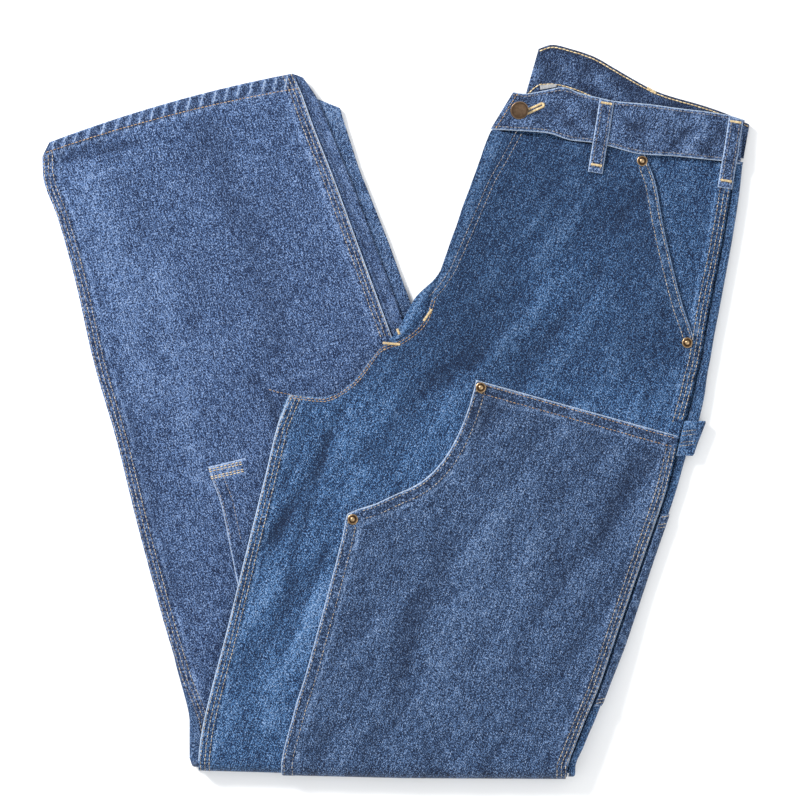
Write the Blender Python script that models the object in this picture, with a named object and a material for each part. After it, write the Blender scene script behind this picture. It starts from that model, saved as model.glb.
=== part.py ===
"""Double-front carpenter pants in denim, folded and laid flat.

The pants are folded lengthwise, left leg on top, and once more under the knee, so that the
thighs lie on the shins. +X is to the right and +Y up as seen from above, +Z is up, and the
origin is on the table at the middle of the outline. The tables are in millimetres.
"""

from collections import namedtuple
from math import pi

import bmesh
import bpy
import numpy as np

MM = 0.001

# Cloth and layers
CLOTH = 1.3
GAP = 0.3
LAYER = CLOTH + GAP
PATCH_GAP = 0.7
BAND = 2.4
SEAM_RISE = 0.8
SEAM_WIDTH = 10.0
SEAM_SLOPE = 1.5
HEM_DEPTH = 11.0
HEM_RISE = 1.0

# Heights of the shin stack over the table
SHIN_CORE = 4.4
SHIN_TOP = SHIN_CORE + 2 * LAYER
SLOT_TOP = SHIN_TOP + LAYER + GAP
SHIN_FOLD_RADIUS = (2 * CLOTH + GAP) / 2

# Depths under the top face of the thigh stack
FACING_DEPTH = LAYER
RETURN_DEPTH = 2 * LAYER
CORE_MARGIN = 0.1
CORE_DEPTH = 3 * LAYER + CORE_MARGIN
THIGH_CORE = 4.9
THIGH_FOLD_RADIUS = (RETURN_DEPTH + CLOTH) / 2
LOW_TOP = THIGH_CORE + CORE_DEPTH

# How the thighs come down beside the shins, and how the edges round off
DRAPE_WIDTH = 110.0
UNDERSIDE_DRAPE = 20.0
UNDERSIDE_MARGIN = 3.0
UNDERSIDE_COLUMNS = 5
UNDERSIDE_FIRST = 0.03
LEAVES_SHINS = (0.1, 0.85)
UNDERSIDE_STEP = 0.04
MEETS_TABLE = 0.95
KNEE_SPAN = 70.0
EDGE_REACH = 12.0
EDGE_DROOP = 1.5
SHIN_EDGE_DROOP = 0.9

# Knee fold
FOLD_REACH = 10.0
FOLD_STEPS = 8
BACK_TURN = 0.56 * pi
PATCH_TURN = 0.7 * pi
SLOT_REACH = 2.5

# Hardware
RIVET_RADIUS = 4.6
BUTTON_RADIUS = 8.0
CLOTH_ROUGHNESS = 0.9
BRASS_ROUGHNESS = 0.35
BRONZE_ROUGHNESS = 0.3

# Belt loops: stations along one and across it, and where it leaves the band for the panel
LOOP_WIDTH = 12.5
LOOP_CLOTH = 1.7
LOOP_SHARES = (0, 0.04, 0.3, 0.5, 0.6, 0.7, 0.96, 1)
LOOP_OFFSETS = (-0.5, -0.42, 0.42, 0.5)
LOOP_EDGE = 0.45
LOOP_ROUNDING = 0.4
LOOP_BAND_END = 0.62
LOOP_PANEL_START = 0.45

# Rows and columns of the grids. Margins are columns beside a sewn or folded edge.
ROW_SPACING = 32.0
SMALL_SPACING = 40.0
SEAM_MARGINS = (0, 1, SEAM_WIDTH, SEAM_WIDTH + 2)
PATCH_MARGINS = (0, SEAM_WIDTH)
HIDDEN_MARGINS = (4, 12)
FRONT_COLUMNS = 11
HIDDEN_COLUMNS = 6
SHIN_COLUMNS = 6
LEFT_PATCH_COLUMNS = 7
RIGHT_PATCH_COLUMNS = 8
SLIVER_COLUMNS = 4
EDGE_ANGLES = 5

# Pocket facing: columns as shares of what shows, columns under the front, and how its edge
# comes up to the outseam where the opening is wide enough
FACING_SHARES = (0, 0.2, 0.45, 0.75, 1)
FACING_TUCKS = (0.5, 6, 12)
FLUSH_SLASH = 8.0
FLUSH_GROWTH = 6.0
FLUSH_SLOPE = 5.0

# How far the hidden layers and the crotch piece lie inside or past the lines above them
SLIVER_TUCK = 2.0
SLIVER_LIP = 0.5
CORE_INSET = 1.5
STRIP_INSET = 2.2
SHIN_CORE_INSET = 2.0
BACK_TURN_MARGIN = 0.2
FOLD_CLEARANCE = 4 * GAP
HEM_ROWS = (HEM_DEPTH + 1, HEM_DEPTH, 1.0)

# A row runs across the thigh from the inseam or fly to the outseam. strip is how far the back
# shows past the outseam, slash how wide the pocket facing shows, and sliver how far the right
# front shows past the crotch seam.
ThighRow = namedtuple("ThighRow", "inseam_x inseam_y outseam_x outseam_y strip slash sliver")
THIGH = (
    ThighRow(103, 267, 290.5, 214, 8, 79, 0),
    ThighRow(82, 241, 289.5, 212, 8.5, 77, 0),
    ThighRow(72.5, 216, 287, 189.5, 8.5, 65, 0),
    ThighRow(60.5, 182, 281.5, 156, 9, 53, 0),
    ThighRow(38.5, 120, 268, 87.5, 10, 22, 0),
    ThighRow(30.5, 96, 263.5, 61.5, 9.5, 8, 14),
    ThighRow(24.5, 79, 260, 41, 9.5, 0, 17),
    ThighRow(4.5, 61.5, 256, 27, 11, 0, 9),
    ThighRow(-10, 56.5, 253.5, 15, 12, 0, 0),
    ThighRow(-39, 23, 250, 3, 13, 0, 0),
    ThighRow(-63, 11.5, 247, -7.5, 13.5, 0, 0),
    ThighRow(-90, 14.5, 244.5, -17, 12.5, 0, 0),
    ThighRow(-101, -12.5, 241, -31.5, 10.5, 0, 0),
    ThighRow(-109.5, -47.5, 234.5, -59, 9, 0, 0),
    ThighRow(-125, -109.5, 214.5, -119, 9, 0, 0),
    ThighRow(-146.5, -196.5, 187.5, -196.5, 10, 0, 0),
    ThighRow(-157, -236, 174, -236, 8, 0, 0),
    ThighRow(-160.5, -250, 168, -250, 8.5, 0, 0),
    ThighRow(-164, -265, 161.5, -265, 9, 0, 0),
    ThighRow(-166, -276, 157, -276, 8.5, 0, 0),
    ThighRow(-167.5, -287, 152.5, -288, 8, 0, 0),
    ThighRow(-168.5, -298, 147, -301, 7, 0, 0),
)
WAIST_ROW = 1
CROTCH_ROW = 8
FIRST_SLIVER_ROW = 4
FACING_END_ROW = 6
INSEAM_TOP_ROW = 11

# A row runs across the shins from the inseam to the outseam, knee fold first. strip is how far
# the right back shows, under_strip how far the left leg shows past it, tuck how far the right
# front stays inside the outline, and bow how far the row's middle lies towards the hem.
ShinRow = namedtuple(
    "ShinRow", "inseam_x inseam_y outseam_x outseam_y strip under_strip tuck bow"
)
SHIN = (
    ShinRow(-177.5, -294, 128.5, -296.5, 8, 14, 13, 0),
    ShinRow(-177.5, -265, 115, -255, 12, 11, 8, 0),
    ShinRow(-185.5, -231, 101.5, -219, 12.5, 11, 2, 0),
    ShinRow(-204, -162, 73, -142, 14, 12, 0, 0),
    ShinRow(-222.5, -93, 43.5, -62, 15, 13, 0, 0),
    ShinRow(-239.5, -24.5, 13.5, 19, 16, 14, 0, 0),
    ShinRow(-259.5, 44.5, -14.5, 95, 17.5, 14.5, 0, 0),
    ShinRow(-275, 113, -36.5, 155, 17, 15, 0, 0),
    ShinRow(-289.5, 165, -54.5, 204, 16.5, 14, 0, 1),
    ShinRow(-302.5, 203, -71, 246, 16, 16, 0, 3),
    ShinRow(-303, 219, -81, 274, 14, 20, 0, 5),
    ShinRow(-297, 231, -88, 290, 9, 26, 0, 5),
)
STRIP_LEAN = -0.4
HIDDEN_SEAM = 55.0
UNDER_LEG_ROWS = 11

# Outer face of the knee fold, from the inseam to the outseam
FOLD_LINE = ((-177.5, -307.5), (-98.5, -309.7), (9, -312.3), (150, -313))
# Edge of the shin stack where the thighs lie over it
SHIN_EDGE = ((13.3, 94.2), (154.4, -312.6))

# Rows of the applied pieces, from their left edge to their right edge
PatchRow = namedtuple("PatchRow", "left_x left_y right_x right_y")
LEFT_PATCH = (
    PatchRow(69, 27, 242, -21),
    PatchRow(64, 7.5, 239, -33),
    PatchRow(52, -23, 235, -50),
    PatchRow(36.5, -47, 230.5, -66),
    PatchRow(17, -63.5, 225.5, -80.5),
    PatchRow(4, -69, 223, -87.5),
    PatchRow(-20, -80, 220.5, -95),
    PatchRow(-41, -87.5, 217.5, -104.5),
    PatchRow(-44.5, -103.5, 212.5, -121),
    PatchRow(-57, -152.5, 201.5, -153.5),
    PatchRow(-69, -196.5, 187, -196.5),
    PatchRow(-78, -229, 176, -229),
    PatchRow(-85, -250, 168, -250),
    PatchRow(-88.5, -263.5, 162, -263.5),
    PatchRow(-92, -276, 157, -276),
    PatchRow(-95, -287, 152, -288),
    PatchRow(-97.5, -299.5, 146, -301),
)
RIGHT_PATCH = (
    PatchRow(-160.5, -47.5, 20, -4),
    PatchRow(-157, -59, 24, -16),
    PatchRow(-150, -78, 40, -41),
    PatchRow(-143, -110.5, 58, -80),
    PatchRow(-129.5, -179, 88, -162),
    PatchRow(-118, -239.5, 106, -232),
    PatchRow(-108, -295, 126, -299),
)

# Stations along the waist, from the lower edge of a band to its upper edge
BandRow = namedtuple("BandRow", "low_x low_y high_x high_y")
FRONT_BAND = (
    BandRow(81.5, 242, 101, 274),
    BandRow(97, 241, 111, 272.5),
    BandRow(115.5, 240, 127, 275),
    BandRow(131, 238.5, 143, 278),
    BandRow(150, 232.5, 158.5, 273),
    BandRow(168, 230.5, 175, 269),
    BandRow(184.5, 227, 189.5, 266),
    BandRow(211, 220.5, 217, 263.5),
    BandRow(237, 219, 243, 260),
    BandRow(262, 216.5, 268, 257),
    BandRow(281, 214.5, 286, 254),
    BandRow(295.5, 212, 299.5, 250),
)
BACK_BAND = (
    BandRow(111.5, 271, 123, 311.5),
    BandRow(125, 268, 134.5, 315),
    BandRow(142.5, 262.5, 152, 311),
    BandRow(160.5, 257.5, 170, 305),
    BandRow(177.5, 252.5, 187, 295.5),
    BandRow(195.5, 246.5, 205, 285),
    BandRow(213.5, 240.5, 223, 275.5),
    BandRow(229, 235.5, 237, 270.5),
    BandRow(257.5, 227.5, 263.5, 263),
    BandRow(281, 221.5, 286, 255),
    BandRow(299, 217.5, 304, 246.5),
)
UNDERLAP = (
    BandRow(107, 268, 111.5, 272.5),
    BandRow(116, 266.5, 122, 281.5),
    BandRow(133, 264, 134.5, 282.5),
    BandRow(147, 263, 147.5, 280),
    BandRow(161, 261, 160.5, 275.5),
    BandRow(179, 258, 177.5, 267.5),
)
TAPE = (BandRow(124, 276, 124, 280), BandRow(138, 278.5, 138, 281))
BACK_BAND_TOP = 5.2
UNDERLAP_BOTTOM = 5.5
UNDERLAP_TOP = 7.5
TAPE_CLOTH = 0.6
BAND_LOW = 7.9
BAND_EDGE = 0.7
BAND_FALL_START = 0.25
BAND_FALL = 0.7
FRONT_BAND_SHARES = (0, 0.03, 0.28, 0.6, 0.97, 1)
BACK_BAND_SHARES = (0.05, 0.35, 0.65, 0.95)
BUTTON_SEAT = 3 * GAP

# A fold is a soft ridge, or a trough where its height is negative
Fold = namedtuple("Fold", "start_x start_y end_x end_y width height")
THIGH_FOLDS = (
    Fold(208, 187, 122, 114, 15, -1.3),
    Fold(110, 103, 41, 29, 17, -1.5),
    Fold(150, 150, 95, 60, 22, 1.2),
    Fold(176, 118, 70, -8, 16, -1.0),
    Fold(-47, -4, -104, -108, 10, -1.4),
    Fold(-22, 8, -66, -70, 11, 1.0),
    Fold(20, 30, -20, -40, 14, -1.0),
    Fold(-60, -150, -112, -262, 16, 0.8),
    Fold(90, -90, 40, -250, 28, 0.8),
)
SHIN_FOLDS = (
    Fold(-262, 205, -215, 20, 24, 0.7),
    Fold(-160, 240, -95, 60, 22, -0.6),
    Fold(-120, 25, -100, -5, 8, -0.6),
)

# Layered edge of the hidden layers, from the top down: share of the height, and outset
EDGE_PROFILE = ((0.1, 1.1), (0.38, 1.2), (0.5, 0.1), (0.62, 1.8), (0.9, 1.7))

# Lathe profiles from the rim to the middle: radius as a share, height in millimetres
RIVET_PROFILE = ((1.0, 0.0), (1.0, 0.5), (0.8, 0.95), (0.55, 0.75), (0.42, 1.3), (0.0, 1.5))
BUTTON_PROFILE = ((0.8, 0.0), (1.0, 0.9), (0.97, 1.7), (0.82, 2.1), (0.72, 1.7), (0.0, 1.5))
ROUND_STEPS = 16

Spot = namedtuple("Spot", "name x y")
PANEL_RIVETS = (
    Spot("rivet_pocket_top", 211.5, 214.8),
    Spot("rivet_pocket_bottom", 250, 59),
)
PATCH_RIVETS = (
    Spot("rivet_patch_top", 73, 20.5),
    Spot("rivet_patch_side", -36.5, -92),
)
BUTTON = Spot("waist_button", 106, 258)

Loop = namedtuple("Loop", "name top_x top_y low_x low_y")
BELT_LOOPS = (
    Loop("belt_loop_front", 181.3, 267, 171.1, 204.7),
    Loop("belt_loop_side", 292, 251, 282.2, 191.3),
)

# Straps of cloth round the folded edge of the back: where they start and end along the outseam,
# their rows, how far past the outseam they start, and how far round the edge they go
Strap = namedtuple("Strap", "name top end rows cloth centre start turn steps")
HAMMER_LOOP = Strap("hammer_loop", -8, -38, 4, LOOP_CLOTH, 2.2, 1.0, 0.55 * pi, 7)
TOOL_POCKET = Strap(
    "tool_pocket", -88, -252, 9, 1.1, -THIGH_FOLD_RADIUS, 2.5, 0.25 * pi, 4
)

DENIM = (0.075, 0.125, 0.24)
FADED_DENIM = (0.10, 0.16, 0.27)
BRONZE = (0.13, 0.085, 0.05)
BRASS = (0.33, 0.2, 0.09)
TAPE_WHITE = (0.8, 0.8, 0.78)


# Numbers

def smooth(share):
    share = np.clip(share, 0, 1)
    return share * share * (3 - 2 * share)


def monotone(at, values, wanted):
    """Values at the wanted places, smooth through the given ones and never past them."""
    steps = np.diff(at)
    rates = np.diff(values) / steps
    slopes = np.concatenate([rates[:1], np.zeros(len(rates) - 1), rates[-1:]])
    for k in range(1, len(rates)):
        before, after = rates[k - 1], rates[k]
        if before * after > 0:
            slopes[k] = 2 * before * after / (before + after)
    place = np.clip(np.searchsorted(at, wanted, "right") - 1, 0, len(steps) - 1)
    share = (wanted - at[place]) / steps[place]
    length = steps[place]
    rise = values[place + 1] - values[place]
    start = slopes[place] * length
    end = slopes[place + 1] * length
    curve = (start + end - 2 * rise) * share + 3 * rise - 2 * start - end
    return values[place] + share * (start + share * curve)


def stations(table, spacing=ROW_SPACING):
    """The rows of a table with smooth rows between them: the table's type, an array a column."""
    rows = np.array(table, float)
    middles = (rows[:, 0:2] + rows[:, 2:4]) / 2
    at = np.concatenate([[0], np.cumsum(np.linalg.norm(np.diff(middles, axis=0), axis=1))])
    wanted = [0.0]
    for start, end in zip(at, at[1:]):
        parts = max(1, round((end - start) / spacing))
        wanted += [start + (end - start) * (k + 1) / parts for k in range(parts)]
    wanted = np.array(wanted)
    return type(table[0])(*(monotone(at, column, wanted) for column in rows.T))


def cut(rows, start, end=None):
    return type(rows)(*(column[start:end] for column in rows))


def distance_to(path, x, y):
    """Distance of each point to the nearest stretch of a path."""
    path = np.asarray(path, float)
    start = path[:-1]
    along = path[1:] - start
    points = np.stack([x, y], axis=-1)[..., None, :]
    length = (along**2).sum(axis=1)
    share = np.clip(((points - start) * along).sum(axis=-1) / length, 0, 1)
    nearest = start + share[..., None] * along
    return np.linalg.norm(points - nearest, axis=-1).min(axis=-1)


def spread(left, right, margins, middle):
    """Places across a row as shares: the margins in millimetres at both ends, the rest even."""
    width = np.linalg.norm(right - left, axis=-1)[:, None]
    margins = np.array(margins, float)[None, :]
    inner = np.linspace(0, 1, middle + 2)[None, 1:-1]
    last = margins[:, -1:]
    inner = last + (width - 2 * last) * inner
    near = np.repeat(margins, len(width), axis=0)
    return np.concatenate([near, inner, width - near[:, ::-1]], axis=1) / width


def across(left, right, shares):
    points = left[:, None, :] + (right - left)[:, None, :] * shares[..., None]
    return points[..., 0], points[..., 1]


# Where the two stacks are, and their heights

THIGH_ROWS = stations(THIGH)
SHIN_ROWS = stations(SHIN)


def inseam(rows):
    return np.stack([rows.inseam_x, rows.inseam_y], axis=1)


def outseam(rows):
    return np.stack([rows.outseam_x, rows.outseam_y], axis=1)


def row_at(rows, table, number):
    """Number of the smooth row that stands for a row of the table."""
    gaps = np.abs(rows.inseam_x - table[number].inseam_x)
    gaps = gaps + np.abs(rows.inseam_y - table[number].inseam_y)
    return int(gaps.argmin())


WAIST = row_at(THIGH_ROWS, THIGH, WAIST_ROW)
INSEAM_TOP = row_at(THIGH_ROWS, THIGH, INSEAM_TOP_ROW)
OUTSEAM_PATH = outseam(THIGH_ROWS)
INSEAM_PATH = inseam(THIGH_ROWS)
THIGH_EDGE_PATH = OUTSEAM_PATH + np.stack([THIGH_ROWS.strip, 0 * THIGH_ROWS.strip], axis=1)
SHIN_INSEAM_PATH = inseam(SHIN_ROWS)


def fold_start(x):
    """Where the cloth starts to turn round the knee."""
    line = np.array(FOLD_LINE)
    return np.interp(x, line[:, 0], line[:, 1]) + FOLD_REACH


def folds_at(folds, x, y):
    total = 0.0
    for fold in folds:
        path = ((fold.start_x, fold.start_y), (fold.end_x, fold.end_y))
        away = distance_to(path, x, y) / fold.width
        total = total + fold.height * np.exp(-away * away * 2)
    return total


def side_of_shin_edge(x, y):
    """How far a point is inside the edge of the shin stack, or outside it where negative."""
    start, end = np.array(SHIN_EDGE)
    along = (end - start) / np.linalg.norm(end - start)
    return (x - start[0]) * along[1] - (y - start[1]) * along[0]


def over_shin(x, y, width, margin=0.0):
    """1 where the thighs lie on the shins, falling to 0 at this width past their edge."""
    side = side_of_shin_edge(x, y)
    over = smooth((side + margin + width) / width)
    at_knee = smooth((KNEE_SPAN - (y - fold_start(x))) / KNEE_SPAN)
    return np.maximum(over, at_knee)


def thigh_height(x, y):
    rise = over_shin(x, y, DRAPE_WIDTH)
    near = np.minimum(distance_to(INSEAM_PATH, x, y), distance_to(THIGH_EDGE_PATH, x, y))
    droop = EDGE_DROOP * np.clip(1 - near / EDGE_REACH, 0, 1) ** 2
    soft = smooth(near / EDGE_REACH)
    return LOW_TOP + rise * SLOT_TOP - droop + soft * folds_at(THIGH_FOLDS, x, y)


def felled(away):
    """Rise of a felled seam at this distance inside its edge."""
    return SEAM_RISE * (1 - smooth((away - SEAM_WIDTH) / SEAM_SLOPE))


def seam_relief(x, y):
    """Rise of the felled outseam and inseam over the panel."""
    near = distance_to(OUTSEAM_PATH, x, y)
    near = np.minimum(near, distance_to(INSEAM_PATH[INSEAM_TOP:], x, y))
    return felled(near)


def underside(x, y):
    return SLOT_TOP * over_shin(x, y, UNDERSIDE_DRAPE, UNDERSIDE_MARGIN)


def shin_height(x, y):
    near = distance_to(SHIN_INSEAM_PATH, x, y)
    droop = SHIN_EDGE_DROOP * np.clip(1 - near / EDGE_REACH, 0, 1) ** 2
    return SHIN_TOP - droop + smooth(near / EDGE_REACH) * folds_at(SHIN_FOLDS, x, y)


def crossing(left, right, past):
    """Share along each row at which it lies this far past the edge of the shin stack."""
    start = side_of_shin_edge(left[:, 0], left[:, 1]) + past
    end = side_of_shin_edge(right[:, 0], right[:, 1]) + past
    return start / (start - end)


def bend(x, y, depth, turn):
    """Points this deep under the thigh's top face, after a turn round the knee fold."""
    half = thigh_height(x, y) / 2
    return np.stack(
        [
            x + 0 * turn,
            y - (FOLD_REACH - depth) * np.sin(turn),
            half + (half - depth) * np.cos(turn),
        ],
        axis=-1,
    )


def with_turns(x, y, last_turn):
    """Rows over the thigh, then the rows round the knee fold, with the turn of each."""
    x = np.array(x)
    y = np.array(y)
    y[-1] = fold_start(x[-1])
    turns = np.linspace(0, pi, FOLD_STEPS + 1)[1:]
    turns = turns[turns <= last_turn + 1e-6]
    x = np.concatenate([x, np.repeat(x[-1:], len(turns), axis=0)])
    y = np.concatenate([y, np.repeat(y[-1:], len(turns), axis=0)])
    turn = np.concatenate([np.zeros(len(x) - len(turns)), turns])[:, None]
    return x, y, turn


# Meshes and materials

def material(name, colour, roughness=CLOTH_ROUGHNESS, metallic=0.0):
    made = bpy.data.materials.new(name)
    made.use_nodes = True
    shader = made.node_tree.nodes["Principled BSDF"]
    shader.inputs["Base Color"].default_value = (*colour, 1)
    shader.inputs["Roughness"].default_value = roughness
    shader.inputs["Metallic"].default_value = metallic
    made.diffuse_color = (*colour, 1)
    return made


def add_object(name, mesh_data, colour, roughness=CLOTH_ROUGHNESS, metallic=0.0):
    bmesh.ops.recalc_face_normals(mesh_data, faces=mesh_data.faces)
    mesh = bpy.data.meshes.new(name)
    mesh_data.to_mesh(mesh)
    mesh_data.free()
    mesh.shade_smooth()
    mesh.set_sharp_from_angle(angle=0.9)
    mesh.materials.append(material(name + "_material", colour, roughness, metallic))
    made = bpy.data.objects.new(name, mesh)
    bpy.context.scene.collection.objects.link(made)
    return made


def add_grid(mesh_data, points):
    return [[mesh_data.verts.new(point * MM) for point in row] for row in points]


def skin(mesh_data, grid, leftward=False):
    """Quads over a grid. Layers split theirs alike, also where the columns run leftward."""
    for first, second in zip(grid, grid[1:]):
        for k in range(len(first) - 1):
            corners = (first[k], first[k + 1], second[k + 1], second[k])
            mesh_data.faces.new(corners[1:] + corners[:1] if leftward else corners)


def wall(name, outer, inner, colour=DENIM, leftward=False):
    """A closed wall of cloth between an outer and an inner grid of points."""
    made = bmesh.new()
    top = add_grid(made, outer)
    under = add_grid(made, inner)
    skin(made, top, leftward)
    skin(made, under, leftward)
    skin(made, [top[0], under[0]])
    skin(made, [top[-1], under[-1]])
    skin(made, [[row[0] for row in top], [row[0] for row in under]])
    skin(made, [[row[-1] for row in top], [row[-1] for row in under]])
    return add_object(name, made, colour)


def layered(name, outer, inner, colour=DENIM):
    """A closed solid of hidden layers, whose two side edges are rounded and stepped."""
    made = bmesh.new()
    top = add_grid(made, outer)
    under = add_grid(made, inner)
    sides = []
    for end, other in ((0, 1), (-1, -2)):
        high = outer[:, end]
        low = inner[:, end]
        out = high - outer[:, other]
        out[:, 2] = 0
        out = out / np.linalg.norm(out, axis=1)[:, None]
        steps = [high + (low - high) * share + out * outset for share, outset in EDGE_PROFILE]
        edge = add_grid(made, np.stack(steps, axis=1))
        sides.append([[top[k][end], *edge[k], under[k][end]] for k in range(len(outer))])
    skin(made, top)
    skin(made, under)
    for side in sides:
        skin(made, side)
        made.faces.new(side[0])
        made.faces.new(side[-1])
    skin(made, [top[0], under[0]])
    skin(made, [top[-1], under[-1]])
    return add_object(name, made, colour)


def lathe(spot, base, radius, profile, colour, roughness):
    made = bmesh.new()
    angles = np.arange(ROUND_STEPS) * 2 * pi / ROUND_STEPS
    rings = []
    for share, height in profile[:-1]:
        ring = [
            made.verts.new(
                (
                    (spot.x + share * radius * np.cos(angle)) * MM,
                    (spot.y + share * radius * np.sin(angle)) * MM,
                    (base + height) * MM,
                )
            )
            for angle in angles
        ]
        rings.append(ring)
    tip = made.verts.new((spot.x * MM, spot.y * MM, (base + profile[-1][1]) * MM))
    skin(made, [ring + ring[:1] for ring in rings])
    for k in range(ROUND_STEPS):
        made.faces.new((rings[-1][k], rings[-1][(k + 1) % ROUND_STEPS], tip))
    made.faces.new(rings[0])
    return add_object(spot.name, made, colour, roughness, 1.0)


# Thigh stack

def left_front():
    rows = cut(THIGH_ROWS, WAIST)
    left = inseam(rows)
    full = outseam(rows) - left
    width = np.linalg.norm(full, axis=1)[:, None]
    right = outseam(rows) - full * (rows.slash[:, None] / width)
    x, y = across(left, right, spread(left, right, SEAM_MARGINS, FRONT_COLUMNS))
    x, y, turn = with_turns(x, y, pi)
    relief = seam_relief(x, y) * (1 + np.cos(turn)) / 2
    outer = bend(x, y, -relief, turn)
    inner = bend(x, y, CLOTH, turn)
    wall("left_front_panel", outer, inner)


def pocket_facing():
    rows = cut(THIGH_ROWS, WAIST, row_at(THIGH_ROWS, THIGH, FACING_END_ROW) + 1)
    right = outseam(rows)
    full = inseam(rows) - right
    width = np.linalg.norm(full, axis=1)[:, None]
    slash = rows.slash[:, None]
    shown = np.array([FACING_SHARES]) * np.maximum(slash - 1, 1)
    tucked = slash + np.array([FACING_TUCKS])
    x, y = across(right, right + full, np.concatenate([shown, tucked], axis=1) / width)
    near = distance_to(OUTSEAM_PATH, x, y)
    flush = smooth((slash - FLUSH_SLASH) / FLUSH_GROWTH)
    flush = flush * (1 - smooth((near - SEAM_WIDTH) / FLUSH_SLOPE))
    flush[:, len(FACING_SHARES):] = 0
    still = np.zeros((len(x), 1))
    wall(
        "pocket_facing",
        bend(x, y, FACING_DEPTH * (1 - flush) - flush * SEAM_RISE, still),
        bend(x, y, RETURN_DEPTH - PATCH_GAP, still),
    )


def round_edge(strip, radius, centre_depth, angles):
    """Shares of a path round the folded edge: distance past the outseam, and depth."""
    past = strip[:, None] - THIGH_FOLD_RADIUS + radius * np.cos(angles)[None, :]
    depth = centre_depth + radius * np.sin(angles)[None, :] + 0 * past
    return past, depth


def hidden_shares(left, right):
    """Columns that the hidden cloth layers share, so that they lie on each other everywhere."""
    return spread(left, right, HIDDEN_MARGINS, HIDDEN_COLUMNS)


def left_back():
    rows = THIGH_ROWS
    angles = np.linspace(-pi / 2, pi / 2, EDGE_ANGLES)
    shares = hidden_shares(outseam(rows), inseam(rows))[:, :-1]
    shares = np.concatenate([0 * shares[:, :1], shares], axis=1)
    tails = shares.shape[1]
    grids = []
    for radius in (THIGH_FOLD_RADIUS, THIGH_FOLD_RADIUS - CLOTH):
        past, depth = round_edge(rows.strip, radius, THIGH_FOLD_RADIUS, angles)
        lip = np.full((len(past), 1), GAP)
        past = np.concatenate([lip, past], axis=1)
        depth = np.concatenate([depth[:, :1], depth], axis=1)
        x = rows.outseam_x[:, None] + past
        y = rows.outseam_y[:, None] + 0 * past
        back_x, back_y = across(outseam(rows), inseam(rows), shares)
        x = np.concatenate([x, back_x], axis=1)
        y = np.concatenate([y, back_y], axis=1)
        depth = np.concatenate([depth, np.repeat(depth[:, -1:], tails, axis=1)], axis=1)
        x, y, turn = with_turns(x, y, BACK_TURN)
        extra = np.repeat(depth[-1:], len(x) - len(depth), axis=0)
        grids.append(bend(x, y, np.concatenate([depth, extra]), turn))
    wall("left_back_panel", *grids, leftward=True)


def right_front_sliver():
    first = row_at(THIGH_ROWS, THIGH, FIRST_SLIVER_ROW)
    last = row_at(THIGH_ROWS, THIGH, CROTCH_ROW)
    rows = cut(THIGH_ROWS, first, last + 1)
    right = inseam(rows) + np.array([SLIVER_TUCK, 0.0])
    left = inseam(rows) - np.stack([rows.sliver + SLIVER_LIP, 0 * rows.sliver], axis=1)
    shares = np.linspace(0, 1, SLIVER_COLUMNS)[None, :] + 0 * rows.strip[:, None]
    x, y = across(left, right, shares)
    still = np.zeros((len(x), 1))
    wall(
        "right_front_crotch",
        bend(x, y, LAYER + PATCH_GAP, still),
        bend(x, y, LAYER + PATCH_GAP + CLOTH, still),
    )


def left_patch():
    rows = stations(LEFT_PATCH)
    left = np.stack([rows.left_x, rows.left_y], axis=1)
    right = np.stack([rows.right_x, rows.right_y], axis=1)
    x, y = across(left, right, spread(left, right, PATCH_MARGINS, LEFT_PATCH_COLUMNS))
    x, y, turn = with_turns(x, y, PATCH_TURN)
    relief = seam_relief(x, y) * (1 + np.cos(turn)) / 2
    outer = bend(x, y, -relief - PATCH_GAP - CLOTH, turn)
    inner = bend(x, y, -relief - PATCH_GAP, turn)
    wall("left_knee_patch", outer, inner, FADED_DENIM)


# Hidden layers, in one solid folded round the knee

def with_edges(left, x, y, right):
    """Columns of points with one more at each side, for the layered edges to start from."""
    x = np.concatenate([left[:, :1], x, right[:, :1]], axis=1)
    y = np.concatenate([left[:, 1:], y, right[:, 1:]], axis=1)
    return x, y


def thigh_underside(first, last, left, right):
    """Points under the thigh stack, with columns where it leaves the edge of the shins."""
    at_edge = np.clip(crossing(first, last, UNDERSIDE_MARGIN), *LEAVES_SHINS)[:, None]
    on_table = crossing(first, last, UNDERSIDE_MARGIN + UNDERSIDE_DRAPE)[:, None]
    on_table = np.clip(on_table, at_edge + UNDERSIDE_STEP, MEETS_TABLE)
    shares = np.linspace(UNDERSIDE_FIRST, 1, UNDERSIDE_COLUMNS)[None, :] * at_edge
    beyond = on_table + (1 - on_table) * np.linspace(0, 1, UNDERSIDE_COLUMNS)[None, :]
    x, y = across(first, last, np.concatenate([shares, beyond], axis=1))
    x, y = with_edges(left, x, y, right)
    y[-1] = fold_start(x[-1])
    return np.stack([x, y, underside(x, y)], axis=-1)


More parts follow.
